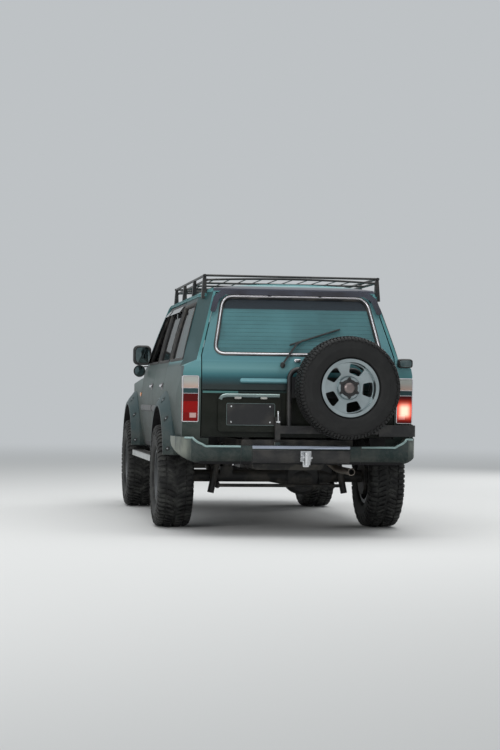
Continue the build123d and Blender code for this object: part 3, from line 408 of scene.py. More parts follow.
def tyre(name, node, centre, axle, crown, half_width, lugs, pitches, material, body):
    """A hollow case turned round the axle, with lugs laid on it. A lug is a strip of stations along
    the case's outline; at each station its four corners stand on the case, leaning to the top, and
    its middle moves round the tyre by its skew. Every pitch repeats the same lugs on both sides."""
    outer = np.array(TYRE_OUTLINE) * (half_width, 1) + (0, crown - HUB_HEIGHT)
    outer[:8, 1] -= np.linspace(crown - HUB_HEIGHT, 0, 8)
    inner = [(-0.55, 0.2033), (-0.80, 0.25), (-0.86, 0.31), (-0.78, 0.37), (0, 0.384)]
    inner += [(-x, r) for x, r in inner[-2::-1]]
    outline = np.concatenate([outer, outer[-2::-1] * (-1, 1), np.array(inner) * (half_width, 1)])
    case = turned("case", outline, centre, axle, material, 120)
    upper = outer[::-1]
    reach = np.concatenate([[0], np.cumsum(np.linalg.norm(np.diff(upper, axis=0), axis=1))])
    lean = unit(np.gradient(upper, axis=0))
    pitch = FULL_TURN / pitches
    blocks = []
    for low, high, start, skew, half, tall in lugs:
        along = np.linspace(low, high, LUG_STATIONS)
        x, r = (np.interp(along, reach, upper[:, i]) for i in (0, 1))
        dx, dr = (np.interp(along, reach, lean[:, i]) for i in (0, 1))
        fade = np.interp(along, (low, low + 0.004, 0.118, 0.145, 0.2), (0.9, 1, 1, 0.55, 0.3))
        height = LUG_RISE * np.where([[0], [1], [1], [0]], tall * fade, 1)
        for flip, lag in ((-1, 0), (1, 0.25)):
            middle = (start + skew * np.linspace(0, 1, LUG_STATIONS) + lag) * pitch
            stand = (flip * (x + np.abs(dr) * height), r + np.abs(dx) * height)
            blocks.append(np.stack([*stand, middle + LUG_WIDTH * half / crown], -1))
    shift = np.arange(pitches)[:, None, None, None, None] * pitch * np.array((0, 0, 1))
    laid = np.array(blocks)[None] + shift
    points = round_axle(laid[..., 0], laid[..., 1], laid[..., 2], centre, axle)
    one = grid_faces(4, LUG_STATIONS, True, False).tolist()
    ends = LUG_STATIONS * np.arange(4)
    one += [ends.tolist(), (ends[::-1] + LUG_STATIONS - 1).tolist()]
    offsets = np.arange(0, points.size // 3, 4 * LUG_STATIONS)[:, None, None]
    tread = mesh_piece("tread", points, (np.array(one)[None] + offsets).reshape(-1, 4), material, 30)
    made = joined(name, [case, tread])
    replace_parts(made, node)
    return fix(made, body)


def nuts(name, centre, axle, along, material, body):
    """Six hexagon nuts with domed ends on the bolt ring: six-sided outlines turned on six studs."""
    outline = [(-0.006, 0.001), (-0.006, 0.0125), (0.014, 0.0125), (0.018, 0.009), (0.020, 0.001)]
    made = []
    for turn in np.arange(6) * np.pi / 3 + np.pi / 6:
        spot = round_axle(np.array(along), np.array(NUT_RING), np.array(turn), centre, axle)
        made.append(turned("nut", outline, spot, axle, material, 6, 20))
    return fix(joined(name, made), body)


road_rubber = rubber("road_rubber", 0.60)
dark_rim = metal("dark_rim", (0.13, 0.135, 0.14), 0.42)
black_metal = worn_black("black_metal", (0.012, 0.012, 0.013), 0.12, 0.38)
HUB_CAP = [(0.045, 0.001), (0.045, 0.050), (0.070, 0.050), (0.088, 0.040), (0.094, 0.026), (0.095, 0.001)]
for end, y in (("front", FRONT_AXLE), ("rear", REAR_AXLE)):
    for side, hand in SIDES:
        corner = f"{end}_{hand}"
        hub, axle, body = (side * 0.860, y, HUB_HEIGHT), (side, 0, 0), "wheel_" + corner
        size = (HUB_HEIGHT, 0.145, MUD_LUGS, 30)
        tyre("tyre_with_tread_" + corner, "tyre_" + corner, hub, axle, *size, road_rubber, body)
        nuts("nuts_" + corner, hub, axle, RIM_FACE, bright_metal, body)
        fix(turned("hub_cap_" + corner, HUB_CAP, hub, axle, black_metal, 40), body)
        coat(dark_rim, "rim_" + corner)

SPARE, BACK = (0.332, -2.389, 1.137), (0, -1, 0)
size = (0.396, 0.136, ROAD_LUGS, 44)
spare_rubber = rubber("spare_rubber", 0.06)
tyre("spare_tyre_with_tread", "spare_tyre", SPARE, BACK, *size, spare_rubber, "carrier_body")
coat(metal("silver_rim", (0.36, 0.41, 0.42), 0.36), "spare_rim")
coat(black_metal, "spare_carrier")
nuts("spare_nuts", SPARE, BACK, RIM_FACE + 0.004, black_metal, "carrier_body")
# The hub plate has six ears: its radius swells by 18 mm at each stud
angle = np.linspace(0, FULL_TURN, 96, endpoint=False)[:, None]
lobes = 0.066 + 0.018 * np.clip(np.cos(6 * (angle - np.pi / 6)), 0, 1) ** 2
level, share = np.array([(0.056, 0.90), (0.0655, 1.0), (0.0685, 0.97), (0.0685, 0.55), (0.056, 0.55)]).T
plate = np.broadcast_arrays(level, np.where(share > 0.6, lobes * share, 0.040), angle)
plate = round_axle(*plate, SPARE, BACK)
hub_plate = mesh_piece("spare_hub_plate", plate, grid_faces(96, 5, True, True), black_metal)
fix(hub_plate, "carrier_body")
SPARE_CAP = [(0.050, 0.001), (0.050, 0.041), (0.078, 0.041), (0.086, 0.034), (0.089, 0.020), (0.090, 0.001)]
cap_metal = metal("cap_metal", (0.24, 0.20, 0.19), 0.38)
fix(turned("spare_cap", SPARE_CAP, SPARE, BACK, cap_metal, 48), "carrier_body")

# Body shell. Steel pressings welded to one cab and painted in mica green under clear lacquer, teal at
# the top and grey green below. The cabin is lined in grey; the floor and arches are sprayed black.
LINING_GREY = (0.075, 0.077, 0.078)
ARCH_HEIGHT, ARCH_RADIUS = 0.476, 0.504
# The cab's planes are given at the height of its sill; the windscreen's own by its foot and slope
SILL, ROOF = 1.345, 1.950
SCREEN_FOOT, SCREEN_SLOPE = 1.005, -1.059
# The planes that cut the cab's upper rear corners: a point of each and the way out of it
CORNER_CUTS = (((0.789, -2.136, SILL), (1, -0.24, 0.38)), ((0.835, -2.140, 1.318), (0.5, 0, 1)))


def cab_depth(spot):
    """Metres from the cab's outer surface inwards: the least distance to its side, rear, roof and
    windscreen planes and the two planes that cut its upper rear corners. The side plane is
    |x| = min(0.908, 0.871 - 0.281 (z - 1.345))."""
    tree = spot[0].id_data
    across = maths("ABSOLUTE", spot[0])
    high = maths("SUBTRACT", spot[2], SILL)
    side = maths("MINIMUM", maths("MULTIPLY_ADD", high, -0.281, 0.871), 0.908)
    rear = maths("MAXIMUM", maths("MULTIPLY_ADD", high, 0.414, -2.136), -2.150)
    screen = maths("MINIMUM", maths("MULTIPLY_ADD", high, SCREEN_SLOPE, SCREEN_FOOT), 1.04)
    depth = maths("SUBTRACT", side, across)
    for outer, inner in ((spot[1], rear), (screen, spot[1]), (ROOF, spot[2])):
        depth = maths("MINIMUM", depth, maths("SUBTRACT", outer, inner))
    place = wire(tree, "CombineXYZ", {0: across, 1: spot[1], 2: spot[2]}).outputs[0]
    for point, out in CORNER_CUTS:
        out = Vector(out).normalized()
        reach = wire(tree, "VectorMath", {0: place, 1: tuple(out)}, operation="DOT_PRODUCT")
        away = maths("SUBTRACT", Vector(point).dot(out), reach.outputs["Value"])
        depth = maths("MINIMUM", depth, away)
    return depth


def by_height(height, stops):
    """A colour that runs through stops, pairs of a height and a colour, from the lowest up."""
    low, high = stops[0][0], stops[-1][0]
    share = maths("DIVIDE", maths("SUBTRACT", height, low), high - low)
    ramp = wire(height.id_data, "ValToRGB", {0: share})
    marks = ramp.color_ramp.elements
    for mark, _ in stops[2:]:
        marks.new((mark - low) / (high - low))
    for number, (mark, colour) in enumerate(stops):
        marks[number].position = (mark - low) / (high - low)
        marks[number].color = (*colour, 1)
    return ramp.outputs[0]


def body_paint(name, stops, dust=0.35, cab=True, gloss=0.06, side_shade=0.0, specular=0.15, flare=None):
    """Mica paint in a run of colours by height, with painted shade that darkens the faces that look
    sideways above the belt, dusty low down, and black in the wheel arches and underneath. On the cab the
    colours drop by 0.11 m round the rear corner and cloth lines the inside. What stands proud of the side
    behind y = -0.45 takes the flare's own run of colours."""
    made = shader(name, Metallic=0.0, Coat_Weight=gloss, Coat_Roughness=0.08, Specular_IOR_Level=specular)
    spot = axes(made)
    height = maths("MULTIPLY_ADD", between(spot[1], -1.88, -2.12), 0.11, spot[2])
    colour = by_height(height if cab else spot[2], stops)
    facing = axes(made, "Normal")
    # Painted shade: above the belt the faces that look sideways are darkened
    sideways = between(maths("ABSOLUTE", facing[0]), 0.84, 0.93)
    sideways = times(sideways, side_shade, between(height, 1.29, 1.33))
    colour = mixed(sideways, colour, (0.004, 0.008, 0.008))
    if flare:
        skin = maths("MINIMUM", maths("MULTIPLY_ADD", spot[2], 0.175, 0.7605), 0.914)
        proud = maths("SUBTRACT", maths("ABSOLUTE", spot[0]), skin)
        behind = maths("LESS_THAN", spot[1], -0.45)
        share = times(between(proud, 0.004, 0.007), behind)
        colour = mixed(share, colour, by_height(spot[2], flare))
    bright = mixed(patches(made, 1500, 2, 0.60, 0.72), (0, 0, 0), (0.035, 0.05, 0.05))
    colours = {0: 1.0, 6: colour, 7: bright}
    colour = wire(made.node_tree, "Mix", colours, data_type="RGBA", blend_type="ADD").outputs[2]
    cloud = patches(made, 5, 8, 0.34, 0.72, (1, 0.6, 1.6))
    speck = patches(made, 42, 6, 0.40, 0.62)
    share = times(maths("MULTIPLY_ADD", speck, 0.35, cloud), between(spot[2], 1.45, 0.62))
    share = times(maths("MINIMUM", share, 1.0), dust)
    colour = mixed(share, colour, (0.12, 0.118, 0.105))
    rough = maths("MULTIPLY_ADD", share, 0.4, 0.42)
    black = times(maths("LESS_THAN", facing[2], -0.6), maths("LESS_THAN", spot[2], 0.9))
    for y in (REAR_AXLE, FRONT_AXLE):
        away = distance(maths("SUBTRACT", spot[1], y), maths("SUBTRACT", spot[2], ARCH_HEIGHT))
        black = maths("MAXIMUM", black, maths("LESS_THAN", away, ARCH_RADIUS))
    if cab:
        inside = between(cab_depth(spot), 0.029, 0.033)
        colour = mixed(inside, colour, mixed(noise(made, 300, 2), LINING_GREY, (0.11, 0.11, 0.112)))
        rough = maths("MAXIMUM", rough, times(inside, 0.85))
    rough = maths("MAXIMUM", rough, times(black, 0.8))
    drive(made, Base_Color=mixed(black, colour, (0.012, 0.012, 0.013)), Roughness=rough)
    relief(made, noise(made, 210, 2), 0.00012)
    return made


def overlaid(material, share, colour):
    """Lays a share of a colour over the material's own base colour."""
    base = material.node_tree.nodes["Principled BSDF"].inputs["Base Color"]
    drive(material, Base_Color=mixed(share, base.links[0].from_socket, colour))


def shaped(rows, steps=9):
    """Points along a chain of rows, each edge an arc that bows by its third number to its right: a
    point at t on it stands 4 bow t (1 - t) off the chord."""
    rows = np.array(rows, float)
    start, run = rows[:-1, :2], np.diff(rows[:, :2], axis=0)
    t = np.linspace(0, 1, steps, endpoint=False)[:, None]
    off = unit(np.stack([run[:, 1], -run[:, 0]], -1)) * rows[:-1, 2:]
    points = start[:, None] + run[:, None] * t + off[:, None] * 4 * t * (1 - t)
    return np.concatenate([points.reshape(-1, 2), rows[-1:, :2]])


# The cab's half width and its rear face at each height
SIDE_LINE = shaped([
    (0.820, 0.560, 0), (0.868, 0.612, 0.004), (0.908, 0.850, 0.004), (0.913, 1.080, 0.003),
    (0.884, 1.290, 0.002), (0.858, 1.345, 0.007), (0.716, 1.850, 0.013), (0.640, 1.904, 0.011),
    (0.4, 1.93, 0),
])
REAR_LINE = shaped([
    (-2.122, 0.690, -0.002), (-2.150, 1.110, -0.004), (-2.142, 1.330, -0.006), (-1.905, 1.902, 0),
    (-1.77, 1.956, 0),
])


def side_x(z):
    """Half width of the cab at a height."""
    return np.interp(z, SIDE_LINE[:, 1], SIDE_LINE[:, 0])


def rear_y(z):
    """Where the rear face is at a height."""
    return np.interp(z, REAR_LINE[:, 1], REAR_LINE[:, 0])


def side_points(y, z, side, off=0.0):
    """Points of the cab's side, off metres above it, and the way out of it."""
    y, z = np.broadcast_arrays(y, z)
    x = np.minimum(side_x(z), np.where(z > 1.35, 0.789 + 0.24 * (y + 2.136) - 0.38 * (z - SILL), 9))
    tilt = (side_x(z - 0.004) - side_x(z + 0.004)) / 0.008
    out = unit(points_at(1, 0, tilt)) * (side, 1, 1)
    return points_at(x * side, y, z) + out * off, out


def rear_points(x, z, off=0.0):
    """Points of the rear face, off metres behind it, and the way out of it."""
    x, z = np.broadcast_arrays(x, z)
    tilt = (rear_y(z + 0.004) - rear_y(z - 0.004)) / 0.008
    out = unit(points_at(0, -1, tilt))
    return points_at(x, rear_y(z), z) + out * off, out


def rounded_loop(corners, radius, along=16, bend=7):
    """A closed loop whose corner c is the curve (1-t)^2 a + 2 t (1-t) c + t^2 b, where a and b are a
    radius before and after it, with straight runs between the curves."""
    corners = np.asarray(corners, float)
    before = corners + unit(np.roll(corners, 1, 0) - corners) * radius
    after = corners + unit(np.roll(corners, -1, 0) - corners) * radius
    t = np.linspace(0, 1, bend)[:, None]
    curve = before[:, None] * (1 - t) ** 2 + corners[:, None] * 2 * t * (1 - t) + after[:, None] * t**2
    s = np.linspace(0, 1, along + 2)[1:-1, None]
    straight = after[:, None] * (1 - s) + np.roll(before, -1, 0)[:, None] * s
    return np.concatenate([curve, straight], axis=1).reshape(-1, corners.shape[1])


def oblong(left, right, low, high, radius):
    """The two coordinates, as rows, of a closed rectangle with rounded corners."""
    return rounded_loop([(left, low), (right, low), (right, high), (left, high)], radius).T


def rounded_box(name, centre, halves, material, power, ways=np.eye(3), steps=(24, 13)):
    """A superquadric: centre + a C(v,e1) C(u,e2) + b C(v,e1) S(u,e2) + c S(v,e1), where C(w,e) is
    cos w and S(w,e) is sin w with their sizes raised to e. Low powers give a box with soft edges."""
    u = np.linspace(0, FULL_TURN, steps[0] * 2, endpoint=False)[None, :]
    v = np.linspace(-np.pi / 2, np.pi / 2, steps[1])[:, None]

    def shrunk(value, exponent):
        return np.sign(value) * np.abs(value) ** exponent

    ring_v, cap_v = shrunk(np.cos(v), power[0]), shrunk(np.sin(v), power[0])
    ring_v[[0, -1]] = 0
    parts = (ring_v * shrunk(np.cos(u), power[1]), ring_v * shrunk(np.sin(u), power[1]), cap_v + 0 * u)
    parts = [part[..., None] * half * np.array(way) for part, half, way in zip(parts, halves, ways)]
    faces = grid_faces(steps[1], steps[0] * 2, False, True)
    return mesh_piece(name, np.array(centre) + sum(parts), faces, material)


TEAL, SHOULDER_HIGHLIGHT = (0.075, 0.215, 0.225), (0.13, 0.29, 0.31)
# A run of colour is a list of heights with the colour at each
PLAIN_RUN = [(1.0, TEAL), (1.9, TEAL)]
GREY_RUN = [
    (0.60, (0.009, 0.016, 0.015)),
    (0.95, (0.034, 0.050, 0.044)),
    (1.20, (0.066, 0.096, 0.088)),
]
# The band along the shoulder, paler than the teal above and below it, is a painted highlight
BODY_RUN = GREY_RUN + [
    (1.305, (0.06, 0.09, 0.085)),
    (1.325, TEAL),
    (1.40, SHOULDER_HIGHLIGHT),
    (1.47, SHOULDER_HIGHLIGHT),
    (1.53, TEAL),
]
body_green = body_paint("body_green", BODY_RUN, side_shade=0.85)
roof_green = body_paint("roof_green", PLAIN_RUN, 0.3, gloss=0.6)
# The roof's rear lip carries on the dark of the wind deflector below it
spot = axes(roof_green)
lip = between(maths("MULTIPLY_ADD", spot[2], -0.9, spot[1]), -3.600, -3.612)
overlaid(roof_green, lip, (0.030, 0.034, 0.052))
coat(body_green, "body_shell", "front_fenders", "front_panel")
coat(body_paint("bonnet_green", PLAIN_RUN, 0.3, gloss=0.8), "bonnet")
coat(roof_green, "roof_panel")
seal_rubber = worn_black("seal_rubber", (0.014, 0.014, 0.015), 0.25, 0.6)
bright_trim = metal("bright_trim", (0.68, 0.66, 0.68), 0.22)
smooth_black = worn_black("smooth_black", (0.012, 0.012, 0.013), 0.12, 0.32)

# Drip rails. A folded steel channel spot-welded along each roof edge, from the rear corner forwards
# and down the windscreen pillar, painted with the body.
CHANNEL = [
    (-0.011, -0.006), (0.011, -0.006), (0.012, 0.010), (0.008, 0.011), (0.006, 0.003), (-0.010, 0.004),
]
fall = np.linspace(1.835, 1.38, 24)
rail_y = np.concatenate([np.linspace(-1.80, 0.34, 40), 0.381 + (1.850 - fall) * 1.07])
rail_z = np.concatenate([np.full(40, 1.852), fall])
for side, hand in SIDES:
    path, out = side_points(rail_y, rail_z, side, 0.004)
    rail = swept("drip_rail_" + hand, path, np.array(CHANNEL) * (-side, 1), body_green, out)
    fix(rail)

# Doors and side windows. Steel doors with near-black window frames; each pane sits in a rubber
# channel, and a smoked rain visor is taped along the top of the two door windows.
DOOR_RUN = GREY_RUN + [(1.350, (0.05, 0.07, 0.065)), (1.356, (0.012, 0.014, 0.015))]
# The flares' and bumpers' satin colour, which the flare's front end on the rear door has too
SATIN_RUN = [
    (0.55, (0.008, 0.011, 0.009)),
    (0.62, (0.016, 0.028, 0.027)),
    (0.75, (0.026, 0.046, 0.049)),
    (1.10, (0.034, 0.062, 0.066)),
]
SEAL = [
    (0.012, 0.000), (0.012, 0.003), (0.005, 0.006), (-0.008, 0.005), (-0.013, -0.001),
    (-0.014, -0.012), (0.0, -0.012),
]
# The places along the vehicle of each window's corners, which stand at these heights
WINDOW_HEIGHTS = (1.352, 1.352, 1.796, 1.796)
WINDOWS = [
    ("front_door", (0.054, 0.808, 0.338, 0.054)),
    ("rear_door", (-0.832, -0.052, -0.052, -0.802)),
    ("quarter", (-1.824, -0.938, -0.912, -1.640)),
]
VISORS = [
    ("front_door", (0.800, 0.345, 0.050), (1.372, 1.800, 1.801)),
    ("rear_door", (-0.052, -0.795), (1.801, 1.801)),
]
# A visor stands on tape and flares out over the glass
VISOR_STRIP = [(0.008, 0.0), (0.008, 0.004), (-0.050, 0.022), (-0.051, 0.019)]


def tinted(name, tint, bend=1.06, through=1.0, band=None, behind=None):
    """Tinted safety glass. It darkens above the height band, with fine heater lines below, and has
    another tint behind the front seats where one is given."""
    made = shader(name, Transmission_Weight=through, Roughness=0.015, IOR=bend)
    # The paler streaks that run across each pane are painted reflection
    mottle = patches(made, 3, 6, 0.35, 0.8, (1, 1, 2))
    colour = mixed(mottle, tint, tuple(min(1, c * 1.25) for c in tint))
    if behind:
        colour = mixed(maths("LESS_THAN", axes(made)[1], -0.5), colour, behind)
    if band:
        z = axes(made)[2]
        line = maths("GREATER_THAN", wave(z, 0.031), 0.985)
        colour = mixed(times(line, 0.55), colour, (0.02, 0.02, 0.02))
        colour = mixed(between(z, band - 0.006, band + 0.006), colour, (0.045, 0.06, 0.075))
    drive(made, Base_Color=colour)
    return made


side_glass = tinted("side_glass", (0.11, 0.16, 0.16))
screen_glass = tinted("screen_glass", (0.42, 0.55, 0.55), behind=(0.08, 0.12, 0.12))
door_green = body_paint("door_green", DOOR_RUN, flare=SATIN_RUN)
visor_acrylic = shader(
    "visor_acrylic", Transmission_Weight=0.85, Roughness=0.06, IOR=1.49, Base_Color=(0.05, 0.045, 0.05)
)
drive(visor_acrylic, Roughness=maths("MULTIPLY_ADD", noise(visor_acrylic, 25), 0.08, 0.04))
coat(screen_glass, "fixed_glass")
for side, hand in SIDES:
    for opening, corners in WINDOWS:
        loop = rounded_loop(list(zip(corners, WINDOW_HEIGHTS)), 0.030)[::side].T
        path, out = side_points(*loop, side)
        body = "vehicle" if opening == "quarter" else f"{opening}_{hand}_body"
        fix(swept(f"{opening}_seal_{hand}", path, SEAL, seal_rubber, out, closed=True), body)
    for opening, y, z in VISORS:
        length = np.concatenate([[0], np.cumsum(np.hypot(np.diff(y), np.diff(z)))])
        at = np.linspace(0, 1, 30) * length[-1]
        path, out = side_points(np.interp(at, length, y), np.interp(at, length, z), side, 0.004)
        visor = swept(f"{opening}_visor_{hand}", path, np.array(VISOR_STRIP) * (side, 1), visor_acrylic, out)
        fix(visor, f"{opening}_{hand}_body")
    coat(door_green, f"front_door_{hand}", f"rear_door_{hand}")
    coat(side_glass, f"front_door_glass_{hand}", f"rear_door_glass_{hand}")

# Door handles and side trim. Bright pull handles in dished black surrounds, a rubber strip along the
# middle of the doors, and a small amber marker on each front wing.
HANDLE_HEIGHT, STRIP_HEIGHT = 1.142, 0.955
STRIP = [(-0.026, 0), (-0.022, 0.008), (0, 0.011), (0.022, 0.008), (0.026, 0), (0, -0.002)]
HANDLES = [("front_door", 0.115), ("rear_door", -0.745)]
STRIPS = [("front_door", 0.025, 0.965), ("rear_door", -0.480, -0.030)]
amber = shader("amber_lens", Transmission_Weight=0.3, Coat_Weight=1.0, IOR=1.49)
drive(amber, Base_Color=mixed(noise(amber, 90), (0.75, 0.20, 0.02), (0.9, 0.33, 0.05)))
for side, hand in SIDES:
    ways = [(0, 1, 0), (0, 0, 1), (side, 0, 0)]
    for door, y in HANDLES:
        spot, _ = side_points(y, HANDLE_HEIGHT, side)
        surround = rounded_box("surround", spot, (0.082, 0.030, 0.004), smooth_black, (0.3, 0.35), ways)
        spot = spot + (side * 0.012, 0, 0.004)
        grip = rounded_box("grip", spot, (0.060, 0.011, 0.008), bright_trim, (0.5, 0.4), ways)
        fix(joined(f"{door}_handle_{hand}", [surround, grip]), f"{door}_{hand}_body")
    for door, low, high in STRIPS:
        path, out = side_points(np.linspace(low, high, 20), STRIP_HEIGHT, side, 0.0005)
        strip = swept(f"{door}_strip_{hand}", path, STRIP, smooth_black, out)
        fix(strip, f"{door}_{hand}_body")
    spot = (side * 0.9085, 1.16, 1.075)
    marker = rounded_box("marker_" + hand, spot, (0.042, 0.019, 0.007), amber, (0.4, 0.3), ways)
    fix(marker)

# Gates. The upper gate lifts on the roof edge and carries the heated window, wiper and deflector; the
# lower one drops flat. Both are steel skins with a handle moulding, a plate recess and a lit ledge.
# The upper gate's colours by height are painted light: near-black at its foot as painted shade, a pale band
# near 1.28 m as a painted highlight, and teal above
UPPER_SHADE_AND_HIGHLIGHT_RUN = [
    (1.080, (0.008, 0.016, 0.014)),
    (1.150, (0.010, 0.020, 0.020)),
    (1.205, (0.008, 0.070, 0.085)),
    (1.235, (0.035, 0.150, 0.170)),
    (1.280, (0.125, 0.285, 0.300)),
    (1.315, (0.100, 0.255, 0.275)),
    (1.345, (0.070, 0.200, 0.225)),
    (1.620, (0.075, 0.195, 0.210)),
    (1.800, (0.080, 0.190, 0.205)),
]
# The lower gate and its plate panel are near-black as painted shade, with a paler painted highlight along
# the gate's top edge
LOWER_SHADE_RUN = [
    (0.75, (0.0065, 0.0085, 0.0055)),
    (1.090, (0.0070, 0.0080, 0.0045)),
    (1.104, (0.020, 0.040, 0.040)),
]
# The handle moulding is dark below as painted shade and pale teal on its top as a painted highlight
PULL_SHADE_AND_HIGHLIGHT_RUN = [(1.166, (0.02, 0.06, 0.065)), (1.182, (0.11, 0.27, 0.30)), (1.21, (0.14, 0.32, 0.35))]
LEDGE_HIGHLIGHT_RUN = [(1.0, (0.05, 0.15, 0.14)), (1.2, (0.06, 0.17, 0.16))]
coat(body_paint("upper_green", UPPER_SHADE_AND_HIGHLIGHT_RUN, 0.06, False, 0.5, specular=0.3), "upper_gate")
coat(body_paint("lower_green", LOWER_SHADE_RUN, 0.06, False), "lower_gate")
coat(body_paint("plate_black", LOWER_SHADE_RUN, 0.10, False), "plate_panel")
# The rear pane is half opaque, and its teal is partly the glass's tint and partly painted reflection of the
# sky
coat(tinted("rear_tint", (0.11, 0.26, 0.28), 1.4, 0.5, band=1.742), "rear_glass")
coat(smooth_black, "rear_wiper")
deflector = shader("deflector_acrylic", Transmission_Weight=0.55, Roughness=0.10, IOR=1.49, Coat_Weight=0.6)
smoke = patches(deflector, 4, 5, 0.3, 0.75)
drive(deflector, Base_Color=mixed(smoke, (0.022, 0.018, 0.030), (0.065, 0.070, 0.105)))
coat(deflector, "wind_deflector")

window = rounded_loop([(-0.652, 1.390), (0.652, 1.390), (0.566, 1.838), (-0.566, 1.838)], 0.085, 40, 12)
path, out = rear_points(*window.T)
WINDOW_SEAL = [
    (0.016, 0.000), (0.016, 0.003), (0.008, 0.006), (-0.010, 0.006), (-0.016, 0.0), (-0.018, -0.012),
    (0, -0.012),
]
seal = swept("rear_window_seal", path, WINDOW_SEAL, seal_rubber, out, closed=True)
fix(seal, "upper_gate_body")
bead = ring(0.0062, 10, 0.75) + (0, 0.0065)
bead = swept("rear_window_bead", path, bead, bright_trim, out, closed=True)
fix(bead, "upper_gate_body")

# Handle moulding: a bar with a flat lit top and a pull recess below it, its ends rounded off
PULL_LEFT, PULL_RIGHT, PULL_STEPS = -0.458, -0.082, 40
PULL_HEIGHT, LEDGE_HEIGHT = 1.184, 1.096
BAR = [
    (0.000, 0.018), (0.006, 0.021), (0.016, 0.020), (0.024, 0.010), (0.024, -0.004), (-0.020, -0.004),
    (-0.020, 0.006), (-0.012, 0.008),
]
x = np.linspace(PULL_LEFT, PULL_RIGHT, PULL_STEPS)
end = np.clip(np.minimum(x - PULL_LEFT, PULL_RIGHT - x) / 0.020, 0, 1)
swell = np.sqrt(1 - (1 - end) ** 2) * 0.999 + 0.001
level = np.array(BAR)[None] * swell[:, None, None]
path, out = rear_points(x, PULL_HEIGHT)
lift = np.cross((1, 0, 0), out)
points = path[:, None] + level[..., :1] * lift[:, None] + level[..., 1:] * out[:, None]
corners = np.arange(PULL_STEPS * len(BAR)).reshape(PULL_STEPS, len(BAR))
faces = grid_faces(*corners.shape, False, True).tolist() + [corners[0, ::-1], corners[-1]]
pull_green = body_paint("pull_green", PULL_SHADE_AND_HIGHLIGHT_RUN, 0.1, False, 0.4)
fix(mesh_piece("gate_pull", points, faces, pull_green, 50), "upper_gate_body")
# The lit ledge on the lower gate's top edge, left of the plate hood, in pale teal as a painted highlight
LEDGE = [(-0.008, -0.002), (-0.008, 0.004), (0.000, 0.006), (0.008, 0.004), (0.008, -0.002)]
path, out = rear_points(np.linspace(-0.742, -0.470, 24), LEDGE_HEIGHT)
ledge_green = body_paint("ledge_green", LEDGE_HIGHLIGHT_RUN, 0.2, False, 0.6)
fix(swept("gate_ledge", path, LEDGE, ledge_green, out), "lower_gate_body")

# Plate recess. A blank black pressed plate in a thin rim, held by four bolts under a painted hood
# with two small lamps.
PLATE_X, PLATE_Y, PLATE_Z = -0.372, -2.1622, 0.928
HOOD = [(-0.015, -0.006), (-0.015, 0.010), (-0.009, 0.016), (0.008, 0.016), (0.014, 0.010), (0.015, -0.006)]
BOLT = [(-0.001, 0.0005), (-0.001, 0.006), (0.003, 0.006), (0.0045, 0.004), (0.0048, 0.0005)]
hood_trim = metal("hood_trim", (0.22, 0.28, 0.27), 0.30)
# The hood curves down over its last 50 mm at the left, by 30 mm
HOOD_LEFT, HOOD_HEIGHT = -0.606, 1.071
x = np.linspace(HOOD_LEFT, -0.150, 48)
end = np.clip((x - HOOD_LEFT) / 0.050, 0, 1)
drop = 0.030 * (1 - np.sqrt(1 - (1 - end) ** 2))
path, out = rear_points(x, HOOD_HEIGHT - drop, 0.010)
fix(swept("plate_hood", path, HOOD, hood_trim, out), "lower_gate_body")
flat, spot = [(1, 0, 0), (0, 0, 1), BACK], (PLATE_X, PLATE_Y - 0.0012, PLATE_Z)
plate = [rounded_box("sheet", spot, (0.188, 0.085, 0.0012), smooth_black, (0.2, 0.12), flat)]
x, z = oblong(-0.186, 0.186, -0.083, 0.083, 0.012)
path = points_at(x + PLATE_X, PLATE_Y - 0.002, z + PLATE_Z)
plate.append(swept("rim", path, ring(0.0022, 6), hood_trim, BACK, closed=True))
for x in (-0.150, 0.150):
    for z in (-0.060, 0.060):
        spot = (PLATE_X + x, PLATE_Y - 0.002, PLATE_Z + z)
        plate.append(turned("bolt", BOLT, spot, BACK, bright_metal, 12))
fix(joined("number_plate", plate), "lower_gate_body")
frosted = shader("frosted_lens", Transmission_Weight=0.5, Roughness=0.35, Base_Color=(0.75, 0.75, 0.70))
relief(frosted, noise(frosted, 600, 2), 0.0004)
for side, hand in SIDES:
    spot = (PLATE_X + side * 0.10, -2.168, 1.053)
    glow = rounded_box("plate_lamp_" + hand, spot, (0.026, 0.006, 0.009), frosted, (0.3, 0.3))
    fix(glow, "lower_gate_body")

# Window fittings. A washer nozzle and the wiper's knob stand on the upper gate's skin, and three
# moulded clips of a sunshade hang inside the window's top.
spot = (-0.012, rear_y(1.342) - 0.012, 1.342)
nozzle = rounded_box("washer_nozzle", spot, (0.026, 0.014, 0.013), bright_trim, (0.4, 0.45))
fix(nozzle, "upper_gate_body")
WIPER_KNOB = [(0.0, 0.001), (0.0, 0.021), (0.012, 0.021), (0.022, 0.014), (0.024, 0.001)]
spot = (-0.131, rear_y(1.304) - 0.029, 1.304)
knob = turned("wiper_knob", WIPER_KNOB, spot, (0, -0.924, 0.383), smooth_black, 24)
fix(knob, "upper_gate_body")
spots, _ = rear_points((-0.385, -0.055, 0.330), 1.815, -0.030)
clips = [rounded_box("clip", s, (0.030, 0.006, 0.012), smooth_black, (0.4, 0.4)) for s in spots]
fix(joined("sunshade_clips", clips), "upper_gate_body")

